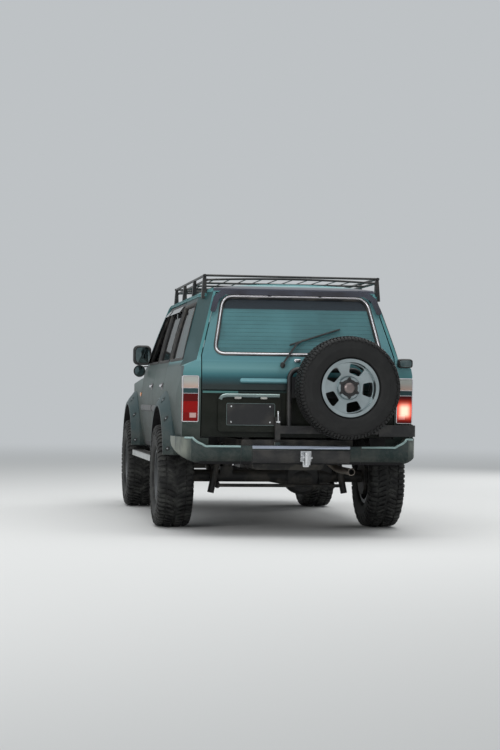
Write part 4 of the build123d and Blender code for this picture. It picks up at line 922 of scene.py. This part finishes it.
# Rear lamps. Moulded lenses with fine ribs in a silver frame: pale at the top, a dark band, and red
# below with one paler window. They wrap the corners of the cab.
lamp_lens = shader(
    "lamp_lens", Coat_Weight=0.12, Coat_Roughness=0.03, Roughness=0.3, Specular_IOR_Level=0.12,
    Emission_Strength=1.5,
)
x, y, z = axes(lamp_lens)
inner = maths("ABSOLUTE", x)
top = mixed(between(z, 1.125, 1.19), (0.50, 0.36, 0.30), (0.42, 0.43, 0.40))
pale = times(between(z, 0.896, 0.902), between(z, 0.938, 0.932))
pale = times(pale, between(inner, 0.842, 0.836), between(inner, 0.786, 0.792))
colour = mixed(between(z, 0.935, 0.940), (0.20, 0.003, 0.002), (0.28, 0.004, 0.003))
colour = mixed(between(z, 1.020, 1.026), colour, (0.10, 0.004, 0.004))
colour = mixed(pale, colour, (0.55, 0.36, 0.33))
colour = mixed(between(z, 1.082, 1.085), colour, (0.030, 0.065, 0.070))
colour = mixed(between(z, 1.122, 1.125), colour, top)
# The right lamp is lit, brightest at its middle
lit = times(between(z, 1.070, 0.985), between(z, 0.875, 0.945), between(x, -0.2, 0.2))
core = times(maths("POWER", lit, 2), between(inner, 0.774, 0.822), between(inner, 0.896, 0.848))
glow = mixed(core, (0.62, 0.035, 0.012), (1.0, 0.62, 0.46))
drive(lamp_lens, Base_Color=colour, Emission_Color=mixed(lit, (0, 0, 0), glow))
RIB_PITCH = 0.0085
ribs = maths("ADD", wave(z, RIB_PITCH), wave(x, RIB_PITCH))
relief(lamp_lens, maths("MULTIPLY_ADD", ribs, 0.25, 0.5), 0.0008)
coat(lamp_lens, "rear_lamps")
for side, hand in SIDES:
    x, z = oblong(0.773, 0.894, 0.869, 1.216, 0.010)
    path, out = rear_points(x * side, z, 0.0012)
    edges = [swept("ring", path[::side], ring(0.0042, 8, 0.8), bright_trim, out[::side], closed=True)]
    for z in (1.0835, 1.1235):
        path, out = rear_points(np.linspace(0.777, 0.890, 8) * side, z, 0.0012)
        edges.append(swept("bar", path, ring(0.0026, 6, 0.8), bright_trim, out))
    fix(joined("lamp_frame_" + hand, edges))

# Bumpers and hitch. Satin grey-green mouldings over steel beams. The rear one has a step plate in the
# middle between two pairs of seams, and a tow hitch with a ball and a pin.
satin_green = body_paint("satin_green", SATIN_RUN, 0.30, False)
dust_and_highlight_green = body_paint("dust_and_highlight_green", SATIN_RUN, 0.30, False)
# Low on the corner wraps, pale patches are partly dust and partly a painted highlight
facing = maths("ABSOLUTE", axes(dust_and_highlight_green, "Normal")[0])
blown = times(between(facing, 0.35, 0.85), between(axes(dust_and_highlight_green)[2], 0.55, 0.66))
blown = times(blown, patches(dust_and_highlight_green, 11, 6, 0.25, 0.60, (1, 1, 0.4)))
overlaid(dust_and_highlight_green, blown, (0.20, 0.215, 0.185))
coat(dust_and_highlight_green, "rear_bumper")
coat(satin_green, "front_bumper", "fender_flares")
# Flare pockets: each bolt of a flare sits in an oval sunk in its sloping face, whose floor is painted
# near-black as shade. The front end of the rear flare is part of the door. Each row: node, where the
# axle is, angles up from straight ahead
POCKETS = [
    ("fender_flares", FRONT_AXLE, (27, 53, 79, 105, 131, 157)),
    ("fender_flares", REAR_AXLE, (79, 105, 131, 157)),
    ("rear_door", REAR_AXLE, (27, 53)),
]
pocket_dark = worn_black("pocket_dark", (0.002, 0.004, 0.004), 0.02)
# The rays start this far out and this far from a point in line with the axle at this height
RAY_X, RAY_REACH, RAY_HEIGHT = 0.952, 0.9, 0.415


def flare_pocket(node, side, axle_y, angle):
    """An oval floor painted near-black as shade, its rim and a bolt, square to the flare where a ray from
    outside meets it.
    """
    way = np.array([0, np.cos(angle), np.sin(angle)])
    start = np.array([side * RAY_X, axle_y, RAY_HEIGHT]) + way * RAY_REACH
    _, point, normal, _ = nodes[node].ray_cast(start, -way)
    point, normal = np.array(point), np.array(normal)
    along = np.array([0, -np.sin(angle), np.cos(angle)])
    slope = np.cross(normal, along)
    turn = np.linspace(0, FULL_TURN, 28, endpoint=False)[:, None]
    oval = point + normal * 0.0006 + along * 0.0185 * np.cos(turn) + slope * 0.0290 * np.sin(turn)
    under, top, bolt_top = (point + normal * lift for lift in (-0.002, 0.0006, 0.0045))
    return [
        swept("floor", [under, top], ring(0.0180, 24, 1.6), pocket_dark, slope),
        swept("rim", oval, ring(0.0020, 8), satin_green, normal, True),
        swept("bolt", [under, bolt_top], ring(0.0062, 6), bright_metal, slope),
    ]


for side, hand in SIDES:
    on_wing, on_door = [], []
    for node, axle_y, angles in POCKETS:
        for angle in np.radians(angles):
            if node == "rear_door":
                on_door += flare_pocket(f"rear_door_{hand}", side, axle_y, angle)
            else:
                on_wing += flare_pocket(node, side, axle_y, angle)
    fix(joined("flare_pockets_" + hand, on_wing))
    fix(joined("door_pockets_" + hand, on_door), f"rear_door_{hand}_body")
BUMPER_PLAN = shaped([
    (0, -2.305, 0), (0.660, -2.300, 0.004), (0.838, -2.262, 0.014), (0.912, -2.150, 0.012),
    (0.947, -1.80, 0),
])
BUMPER_SIDE = shaped([
    (-2.240, 0.754, 0.005), (-2.292, 0.712, 0.006), (-2.305, 0.640, 0.009), (-2.262, 0.552, 0),
])


def bumper_y(x, z):
    """The rear bumper's face: the nearer of its plan curve and its side curve."""
    plan = np.interp(np.abs(x), BUMPER_PLAN[:, 0], BUMPER_PLAN[:, 1])
    return np.maximum(plan, np.interp(z, BUMPER_SIDE[::-1, 1], BUMPER_SIDE[::-1, 0]))


def walled(made, thickness, offset=-1):
    """Gives a sheet its thickness, inwards at an offset of -1 and to both sides at 0."""
    wall = made.modifiers.new("wall", "SOLIDIFY")
    wall.thickness, wall.offset = thickness, offset
    return made


seams = []
z = np.linspace(0.556, 0.690, 24)
for x in (-0.463, -0.380, 0.380, 0.463):
    path = points_at(x, bumper_y(x, z) + 0.0012, z)
    seams.append(swept("seam", path, ring(0.0022, 6), seal_rubber, BACK))
fix(joined("bumper_seams", seams))
# Rolled top edge, from each seam out and up over the corner, in pale teal as a painted highlight
ROLL_HIGHLIGHT_RUN = [(0.6, (0.24, 0.36, 0.35)), (0.8, (0.26, 0.37, 0.36))]
roll_green = body_paint("roll_green", ROLL_HIGHLIGHT_RUN, 0.25, False, 0.6)
corner = [(0.466, 0.690, 0), (0.704, 0.690, 0.007), (0.752, 0.704, 0.007), (0.826, 0.752, 0)]
across, z = (shaped(corner + [(0.880, 0.752, 0)], 12) - (0, 0.006)).T
for side, hand in SIDES:
    path = points_at(across * side, bumper_y(across, z) + 0.0035, z)
    roll = swept("bumper_roll_" + hand, path, ring(0.0095, 10), roll_green, BACK)
    fix(roll)
# Step plate: a sheet over the top edge between the seams, ribbed along the vehicle. It is flat up to
# BEND of its depth and hangs down the bumper's face beyond it.
STEP_HEIGHT, BEND = 0.6925, 0.7
u, v = np.meshgrid(np.linspace(-0.376, 0.376, 189), np.linspace(0, 1, 22))
rib = 0.0016 * (np.sin(u * FULL_TURN / 0.016) > 0)
step_z = STEP_HEIGHT + np.where(v < BEND, rib, -(v - BEND) / (1 - BEND) * 0.022)
hanging = bumper_y(u, np.minimum(step_z, 0.690)) - 0.0022
step_y = np.where(v < BEND, -2.170 - v / BEND * 0.124, hanging)
worn_alloy = metal("worn_alloy", (0.42, 0.46, 0.54), 0.32, scale=300)
step = mesh_piece("step_plate", points_at(u, step_y, step_z), grid_faces(22, 189), worn_alloy, 25)
fix(walled(step, 0.0018))
# Black cover on the face below it, dimpled along its top
COVER_LOW, COVER_TOP = 0.560, 0.664
u, v = np.meshgrid(np.linspace(-0.374, 0.374, 150), np.linspace(COVER_LOW, COVER_TOP, 20))
dimple = 0.0016 * np.maximum(0, np.sin(u * FULL_TURN / 0.030) * np.sin(v * FULL_TURN / 0.030))
edge_in = np.minimum(np.minimum(v - COVER_LOW, COVER_TOP - v) / 0.006, 1) * 0.0035
face = points_at(u, bumper_y(u, v) - edge_in - dimple, v)
fix(walled(mesh_piece("bumper_cover", face, grid_faces(20, 150), smooth_black), 0.0016))
ACROSS, AHEAD = (1, 0, 0), (0, 1, 0)
BALL = [
    (0.0, 0.001), (0.0, 0.013), (0.016, 0.013), (0.020, 0.020), (0.030, 0.0252), (0.043, 0.0235),
    (0.052, 0.013), (0.054, 0.001),
]
PIN = [(0.0, 0.001), (0.0, 0.009), (0.092, 0.009), (0.094, 0.006), (0.095, 0.001)]
hitch = [
    turned("ball", BALL, (0.031, -2.385, 0.648), (0, 0.0001, 1), bright_metal, 32),
    turned("pin", PIN, (-0.016, -2.345, 0.606), ACROSS, bright_metal, 16),
    rounded_box("tab", (0.031, -2.3215, 0.560), (0.024, 0.005, 0.026), bright_metal, (0.3, 0.4)),
]
fix(joined("hitch_ball_and_pin", hitch))
# The side steps have a ribbed tread, flat at its two long edges
coat(metal("step_metal", (0.50, 0.51, 0.50), 0.40, (1, 0.1, 1)), "side_steps")
u, v = np.meshgrid(np.linspace(-0.545, 1.165, 400), np.linspace(0.880, 0.966, 10))
ribs = 0.5567 + 0.0022 * (np.sin(u * FULL_TURN / 0.026) > 0.2) * (np.abs(v - 0.923) < 0.040)
for side, hand in SIDES:
    points = points_at(side * v, u, ribs)
    tread = mesh_piece("step_tread_" + hand, points, grid_faces(10, 400), smooth_black, 25)
    fix(walled(tread, 0.0020))

# Fuel flap. A steel pressing in the right rear wing, painted with the body, inside its own shut
# line. A small lip at its front edge takes a finger.
path, out = side_points(*oblong(-1.530, -1.370, 1.085, 1.235, 0.022), 1)
fix(swept("fuel_flap_gap", path, ring(0.0022, 6), seal_rubber, out, closed=True))
spot, out = side_points(-1.392, 1.160, 1, 0.001)
ways = (AHEAD, (0, 0, 1), out)
lip = rounded_box("fuel_flap_lip", spot, (0.010, 0.016, 0.0025), body_green, (0.5, 0.5), ways)
fix(lip)

# Mirrors. Rounded black housings on the front doors with a convex glass, dark with paler patches as
# painted reflection, and under the left one a small round wide-angle mirror on a stalk.
mirror_black = worn_black("mirror_black", (0.006, 0.008, 0.008), 0.06, 0.4)
# The glass is dark, with paler patches: painted reflection
mirror_glass = shader("mirror_glass", Metallic=1.0, Roughness=0.05)
reflection_patches = patches(mirror_glass, 14, 5, 0.35, 0.75)
drive(mirror_glass, Base_Color=mixed(reflection_patches, (0.08, 0.115, 0.12), (0.16, 0.20, 0.20)))
coat(mirror_black, "mirror_left", "mirror_right")
MIRROR_X, MIRROR_Z = 0.932, 1.434
# The glass's outline is cos and sin over the fourth root of cos^4 + sin^4, a square with soft corners
turn = np.linspace(0, FULL_TURN, 72, endpoint=False)
squared = (np.cos(turn) ** 4 + np.sin(turn) ** 4) ** 0.25
across, up = np.cos(turn) / squared, np.sin(turn) / squared
u = np.linspace(0, 1, 22)
for side, hand in SIDES:
    x, z = side * MIRROR_X + 0.070 * across[:, None] * u, MIRROR_Z + 0.076 * up[:, None] * u
    points = points_at(x, 0.7506 + 0.004 * u**2, z)
    glass = mesh_piece("mirror_glass_" + hand, points, grid_faces(72, 22, True, False), mirror_glass)
    fix(walled(glass, 0.002, 0), f"front_door_{hand}_body")
    path = points_at(side * MIRROR_X + 0.071 * across, 0.753, MIRROR_Z + 0.077 * up)
    rim = swept("mirror_rim_" + hand, path, ring(0.0032, 8), smooth_black, BACK, closed=True)
    fix(rim, f"front_door_{hand}_body")
ROUND_BOWL = [
    (0.0, 0.0005), (0.0, 0.047), (0.003, 0.050), (-0.003, 0.055), (-0.012, 0.053), (-0.026, 0.034),
    (-0.031, 0.0005),
]
ROUND_GLASS = [(0.0008, 0.0005), (0.0008, 0.044), (0.0022, 0.044), (0.0042, 0.0005)]
STALK = [(-0.945, 0.850, 1.300), (-0.935, 0.862, 1.318), (-0.905, 0.858, 1.330), (-0.872, 0.850, 1.332)]
spot = (-0.955, 0.822, 1.289)
round_mirror = [
    turned("round_housing", ROUND_BOWL, spot, BACK, mirror_black, 48),
    turned("round_glass", ROUND_GLASS, spot, BACK, mirror_glass, 48),
    swept("stalk", STALK, ring(0.006, 10), smooth_black),
]
fix(joined("round_mirror", round_mirror), "front_door_left_body")

# Work lamp. A black moulded housing that stands on a curved foot at the right rear shoulder, with
# its lens facing backwards.
spot = np.array((0.832, -2.150, 1.334))
foot = [(0.822, -2.118, 1.285), (0.826, -2.136, 1.305), (0.830, -2.150, 1.330)]
work_lamp = [
    rounded_box("housing", spot, (0.060, 0.030, 0.036), mirror_black, (0.45, 0.40)),
    swept("foot", foot, ring(0.012, 10), mirror_black, ACROSS),
    rounded_box("lens", spot - (0, 0.0285, 0.002), (0.046, 0.005, 0.024), mirror_glass, (0.5, 0.35)),
]
fix(joined("work_lamp", work_lamp))

# Front end. A slatted grille between square fluted headlamps, set in the front panel; fog lamps in
# the bumper, with a blank plate on it, and two wipers on the windscreen.
grille_black = worn_black("grille_black", (0.010, 0.011, 0.011), 0.3, 0.42)
coat(grille_black, "grille")
slats = []
for z in np.linspace(0.912, 1.038, 6):
    path = points_at(np.linspace(-0.418, 0.418, 12), 2.4625, z)
    slats.append(swept("slat", path, ring(0.006, 10, 0.8), hood_trim))
for x in (-0.21, 0.0, 0.21):
    path = [(x, 2.459, 0.897), (x, 2.459, 1.053)]
    slats.append(swept("post", path, ring(0.005, 8), grille_black, AHEAD))
x, z = oblong(-0.427, 0.427, 0.893, 1.057, 0.012)
path = points_at(-x, 2.461, z)
slats.append(swept("surround", path, ring(0.0065, 10), hood_trim, AHEAD, closed=True))
fix(joined("grille_slats", slats))
lens_glass = shader("lens_glass", Transmission_Weight=0.92, Roughness=0.04, IOR=1.35)
mottle = patches(lens_glass, 30, 4, 0.35, 0.8)
drive(lens_glass, Base_Color=mixed(mottle, (0.86, 0.90, 0.90), (0.70, 0.74, 0.72)))
flute = wave(axes(lens_glass)[0], 0.016)
relief(lens_glass, maths("MULTIPLY_ADD", flute, 0.5, 0.5), 0.0007)
coat(lens_glass, "headlamps")
polished = metal("polished", (0.86, 0.87, 0.88), 0.08, scale=20, depth=0.00002)
bulb_glass = shader("bulb_glass", Transmission_Weight=0.7, Roughness=0.08, Base_Color=(0.95, 0.93, 0.86))
drive(bulb_glass, Roughness=maths("MULTIPLY_ADD", noise(bulb_glass, 90), 0.1, 0.03))
LAMP_BOWL = [
    (0.0, 0.066), (0.004, 0.069), (-0.012, 0.058), (-0.028, 0.036), (-0.034, 0.010), (-0.036, 0.0008),
    (-0.032, 0.0008), (-0.030, 0.010), (-0.024, 0.034), (-0.008, 0.056),
]
BULB = [(0.0, 0.0005), (-0.002, 0.006), (-0.012, 0.008), (-0.022, 0.007), (-0.026, 0.0005)]
BEZEL = [(-0.010, 0.050), (0.003, 0.052), (0.006, 0.056), (0.003, 0.066), (-0.010, 0.068)]
FOG_LENS = [(-0.008, 0.0006), (-0.008, 0.051), (0.000, 0.051), (0.005, 0.030), (0.0065, 0.0006)]
for side, hand in SIDES:
    bowls, bulbs = [], []
    for x, reach in ((0.585, 1.0), (0.705, 0.68)):
        outline = np.array(LAMP_BOWL) * (0.9, reach)
        bowls.append(turned("bowl", outline, (side * x, 2.4635, 0.970), AHEAD, polished, 64))
        bulbs.append(turned("bulb", BULB, (side * x, 2.4600, 0.970), AHEAD, bulb_glass, 24))
    fix(joined("headlamp_bowls_" + hand, bowls))
    fix(joined("headlamp_bulbs_" + hand, bulbs))
    x, z = oblong(0.523, 0.757, 0.893, 1.047, 0.014)
    path = points_at(-x * side, 2.4690, z)[::side]
    rim = swept("headlamp_rim_" + hand, path, ring(0.0055, 10), hood_trim, AHEAD, closed=True)
    fix(rim)
    spot = (side * 0.630, 2.5275, 0.660)
    fix(turned("fog_bezel_" + hand, BEZEL, spot, AHEAD, smooth_black, 64))
    fix(turned("fog_lens_" + hand, FOG_LENS, spot, AHEAD, frosted, 64))
spot, halves = (0, 2.5465, 0.640), (0.235, 0.0020, 0.058)
fix(rounded_box("front_plate", spot, halves, smooth_black, (0.15, 0.12)))


def on_screen(x, z, off):
    """Points that stand off metres ahead of the windscreen."""
    return points_at(x, SCREEN_FOOT + SCREEN_SLOPE * (z - SILL) + off, z)


BLADE = [(-0.004, -0.008), (0.004, -0.008), (0.005, 0.006), (-0.005, 0.006)]
BOSS = [(0, 0.0005), (0, 0.014), (0.022, 0.014), (0.026, 0.010), (0.027, 0.0005)]
SCREEN_OUT = (0, 0.68, 0.73)
wipers = []
for x, tip in ((0.520, 0.02), (-0.060, -0.56)):
    path = on_screen((x, (x + tip) / 2 + 0.02, tip + 0.12), np.array((1.378, 1.402, 1.412)), 0.026)
    wipers.append(swept("arm", path, ring(0.006, 8), smooth_black, SCREEN_OUT))
    path = on_screen(np.linspace(x - 0.03, tip, 16), np.linspace(1.396, 1.424, 16), 0.010)
    wipers.append(swept("blade", path, BLADE, seal_rubber, SCREEN_OUT))
    wipers.append(turned("boss", BOSS, (x, 0.986, 1.366), SCREEN_OUT, smooth_black, 24))
fix(joined("front_wipers", wipers))

# Roof rack. Welded steel tube under a black coating, with a floor of thin round rods that are
# welded across its crossbars.
coat(black_metal, "roof_rack")
rods = []
for x in np.linspace(-0.600, 0.600, 11):
    path = points_at(x, np.linspace(-1.780, 0.210, 4), 1.9825)
    rods.append(swept("rod", path, ring(0.0040, 6), black_metal))
fix(joined("rack_floor", rods))

# Spare wheel latch. A steel lever that turns on a pressed bracket at the beam's free end and closes
# over a striker.
LATCH_X = -0.170
lever = points_at(LATCH_X, (-2.228, -2.236, -2.236, -2.228), (0.868, 0.892, 0.930, 0.955))
PIVOT = [(-0.014, 0.0005), (-0.014, 0.008), (0.014, 0.008), (0.014, 0.0005)]
latch = [
    rounded_box("plate", (LATCH_X, -2.2205, 0.880), (0.016, 0.0035, 0.024), black_metal, (0.3, 0.3)),
    swept("lever", lever, ring(0.006, 10), bright_metal, ACROSS),
    turned("pivot", PIVOT, (LATCH_X, -2.228, 0.872), ACROSS, bright_metal, 20),
]
fix(joined("carrier_latch", latch), "carrier_body")

# Tail pipe lining. Soot inside the pipe's open end, and painted shade for its depth: a thin dark sleeve
# that is closed 82 mm in, so that the pipe looks hollow.
SOOT_AND_SHADE = [
    (0.002, 0.0236), (0.002, 0.0225), (-0.082, 0.0225), (-0.082, 0.0005), (-0.084, 0.0005),
    (-0.084, 0.0236),
]
fix(turned("pipe_lining", SOOT_AND_SHADE, (0.416, -2.176, 0.493), BACK, seal_rubber, 40))

# Cabin. Grained grey dashboard with a hooded pair of dials, heater knobs, a black steering wheel and
# two gear levers in rubber boots.
dash_grey = worn_black("dash_grey", (0.060, 0.061, 0.064), 0.15, 0.6)
relief(dash_grey, noise(dash_grey, 900, 3), 0.0005)
wheel_black = worn_black("wheel_black", (0.020, 0.020, 0.022), 0.1, 0.5)
coat(dash_grey, "dashboard")
coat(wheel_black, "steering_wheel")
turn = np.linspace(np.pi, 0, 30)
path = points_at(0.390 + 0.200 * np.cos(turn), 0.775, 1.150 + 0.042 * np.sin(turn))
DIAL_HOOD = [(-0.006, -0.045), (-0.006, 0.030), (0.006, 0.030), (0.006, -0.045)]
fix(swept("dial_hood", path, DIAL_HOOD, dash_grey, BACK))
dial_face = shader("dial_face", Roughness=0.3, Coat_Weight=0.5)
mark = patches(dial_face, 260, 2, 0.62, 0.66)
drive(dial_face, Base_Color=mixed(mark, (0.010, 0.010, 0.010), (0.06, 0.06, 0.06)))
DIAL = [
    (0.0, 0.0006), (0.0, 0.048), (0.004, 0.052), (-0.004, 0.055), (-0.010, 0.054), (-0.010, 0.0006),
]
dials = [turned("dial", DIAL, (x, 0.757, 1.120), BACK, dial_face, 48) for x in (0.300, 0.480)]
fix(joined("dials", dials))
stack = rounded_box("centre_stack", (0, 0.757, 1.020), (0.130, 0.007, 0.095), dial_face, (0.2, 0.2))
fix(stack)
HEATER_KNOB = [(0.0, 0.0005), (0.0, 0.020), (0.016, 0.017), (0.019, 0.014), (0.020, 0.0005)]
spots = [(x, 0.751, 0.965) for x in (-0.075, 0.0, 0.075)]
knobs = [turned("knob", HEATER_KNOB, spot, BACK, smooth_black, 24) for spot in spots]
fix(joined("heater_knobs", knobs))
BOOT = [
    (0.0, 0.010), (0.004, 0.052), (0.018, 0.040), (0.030, 0.038), (0.044, 0.026), (0.060, 0.020),
    (0.090, 0.011), (0.06, 0.009),
]
CABIN_FLOOR = 0.702
levers = []
for x, y, top in ((0.030, 0.480, 1.010), (0.115, 0.430, 0.930)):
    path = [(x, y + 0.05, CABIN_FLOOR), (x, y + 0.03, 0.80), (x, y, top)]
    spot, halves = (x, y - 0.004, top + 0.02), (0.021, 0.021, 0.030)
    levers += [
        swept("rod", path, ring(0.008, 10), wheel_black, ACROSS),
        rounded_box("knob", spot, halves, wheel_black, (0.9, 1.0), steps=(16, 12)),
        turned("boot", BOOT, (x, y + 0.047, CABIN_FLOOR), (0, -0.15, 1), wheel_black, 32),
    ]
fix(joined("gear_levers", levers))

# Seats. Foam pads in grey woven cloth over steel frames. Each pad starts as a slim block, is remeshed
# and blown up as cloth, and is then drawn in along its sewn channels.
seat_cloth = shader(
    "seat_cloth", Roughness=0.92, Sheen_Weight=0.35, Sheen_Roughness=0.5, Specular_IOR_Level=0.2
)
x, y, z = axes(seat_cloth)
THREAD = 0.0032
weave = times(wave(x, THREAD), wave(maths("ADD", y, z), THREAD))
weave = maths("MULTIPLY_ADD", weave, 0.5, 0.5)
colour = mixed(patches(seat_cloth, 18, 5, 0.35, 0.7), (0.070, 0.072, 0.075), (0.105, 0.105, 0.105))
drive(seat_cloth, Base_Color=mixed(times(weave, 0.4), colour, (0.035, 0.036, 0.038)))
relief(seat_cloth, weave, 0.0005)
SWELL_FRAMES = 20
CHANNEL_DEPTH, CHANNEL_WIDTH = 0.007, 0.009


def read_points(vertices, kind):
    """The coordinates or normals of a mesh's vertices as rows."""
    values = np.empty(len(vertices) * 3)
    vertices.foreach_get(kind, values)
    return values.reshape(-1, 3)


def pad(name, centre, halves, lean, channels, voxel, swell):
    """A stuffed pad. It starts as a box with soft edges, turned by lean degrees about X; cloth
    pressure moves each point by at most swell. A channel is (axis, place along it) in the pad's own
    directions, and pulls the surface in by 7 mm exp(-(distance / 9 mm)^2)."""
    ways = np.array(Matrix.Rotation(np.radians(lean), 3, "X")).T
    made = rounded_box(name, centre, np.array(halves) - 0.006, seat_cloth, (0.24, 0.24), ways, (40, 31))
    bpy.context.view_layer.objects.active = made
    remesh = made.modifiers.new("remesh", "REMESH")
    remesh.mode, remesh.voxel_size = "VOXEL", voxel
    bpy.ops.object.modifier_apply(modifier="remesh")
    rest = read_points(made.data.vertices, "co")
    cloth = made.modifiers.new("cloth", "CLOTH")
    cloth.settings.use_pressure = True
    cloth.settings.uniform_pressure_force = 4
    cloth.settings.effector_weights.gravity = 0
    cloth.point_cache.frame_start, cloth.point_cache.frame_end = 1, SWELL_FRAMES
    for tick in range(1, SWELL_FRAMES + 1):
        bpy.context.scene.frame_set(tick)
    blown = made.evaluated_get(bpy.context.evaluated_depsgraph_get()).to_mesh()
    step = read_points(blown.vertices, "co") - rest
    made.modifiers.remove(cloth)
    bpy.context.scene.frame_set(1)
    size = np.linalg.norm(step, axis=1, keepdims=True)
    points = rest + step * np.minimum(1, swell / np.maximum(size, 1e-9))
    made.data.vertices.foreach_set("co", points.ravel())
    finer = made.modifiers.new("finer", "SUBSURF")
    finer.levels = finer.render_levels = 1
    bpy.ops.object.modifier_apply(modifier="finer")
    points = read_points(made.data.vertices, "co")
    normals = read_points(made.data.vertices, "normal")
    own = (points - np.array(centre)) @ ways.T
    facing = normals @ ways.T
    for axis, mark in channels:
        pull_in = CHANNEL_DEPTH * np.exp(-(((own[:, axis] - mark) / CHANNEL_WIDTH) ** 2))
        points -= normals * (pull_in * (np.abs(facing[:, axis]) < 0.7))[:, None]
    made.data.vertices.foreach_set("co", points.ravel())
    made.data.update()
    made.data.shade_smooth()
    return fix(made)


SEAT_X, REST_LINE = 0.410, (2, 0.0)
CUSHION_LINES = [(0, -0.155), (0, 0.155), (1, -0.06), (1, 0.08)]
BACK_LINES = [(0, -0.155), (0, 0.155), (2, -0.12), (2, 0.02), (2, 0.16)]
# Each pad: name, place along and above the origin, half sizes, lean, channels, voxel, most swell
SEAT_PADS = [
    ("seat_cushion_", (0.182, 0.898), (0.228, 0.225, 0.040), 2, CUSHION_LINES, 0.011, 0.024),
    ("seat_back_", (-0.055, 1.222), (0.224, 0.048, 0.300), 9.8, BACK_LINES, 0.011, 0.022),
    ("head_rest_", (-0.122, 1.632), (0.122, 0.046, 0.080), 7, [REST_LINE], 0.009, 0.014),
]
for side, hand in SIDES:
    for name, spot, *shape in SEAT_PADS:
        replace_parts(pad(name + hand, (side * SEAT_X, *spot), *shape), "front_seats")
lines = [(0, -0.20), (0, 0.20), (1, 0.02)]
cushion = pad("bench_cushion", (0, -0.580, 0.902), (0.590, 0.216, 0.040), 3, lines, 0.013, 0.022)
lines = [(0, -0.20), (0, 0.20), (2, -0.08), (2, 0.08)]
back = pad("bench_back", (0, -0.842, 1.170), (0.590, 0.048, 0.252), 6.4, lines, 0.013, 0.022)
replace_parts(cushion, "rear_bench")
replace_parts(back, "rear_bench")
RAIL = [(-0.018, -0.006), (0.018, -0.006), (0.018, 0.010), (-0.018, 0.010)]


def upright(name, x, y, low, top, radius, material):
    """A round bar between two heights; y is one place or one at each end."""
    return swept(name, points_at(x, y, (low, top)), ring(radius, 10), material, AHEAD)


for side, hand in SIDES:
    x, made = side * SEAT_X, []
    for dx in (-0.17, 0.17):
        made.append(swept("rail", points_at(x + dx, (0.01, 0.38), CABIN_FLOOR + 0.008), RAIL, black_metal))
        for y in (0.05, 0.33):
            made.append(upright("leg", x + dx, y, CABIN_FLOOR + 0.01, 0.868, 0.013, black_metal))
    made.append(rounded_box("pan", (x, 0.19, 0.860), (0.205, 0.195, 0.012), black_metal, (0.3, 0.2)))
    for dx in (-0.05, 0.05):
        made.append(upright("post", x + dx, (-0.108, -0.116), 1.530, 1.600, 0.006, bright_metal))
    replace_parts(fix(joined("seat_frame_" + hand, made)), "front_seats")
made = [rounded_box("pan", (0, -0.585, 0.862), (0.580, 0.190, 0.010), black_metal, (0.3, 0.2))]
for x in (-0.50, 0.0, 0.50):
    made += [upright("leg", x, y, CABIN_FLOOR, 0.862, 0.014, black_metal) for y in (-0.56, -0.37)]
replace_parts(fix(joined("bench_frame", made)), "rear_bench")

np_bounds = [[list(corner) for corner in pair] for pair in (cad_bounds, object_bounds())]
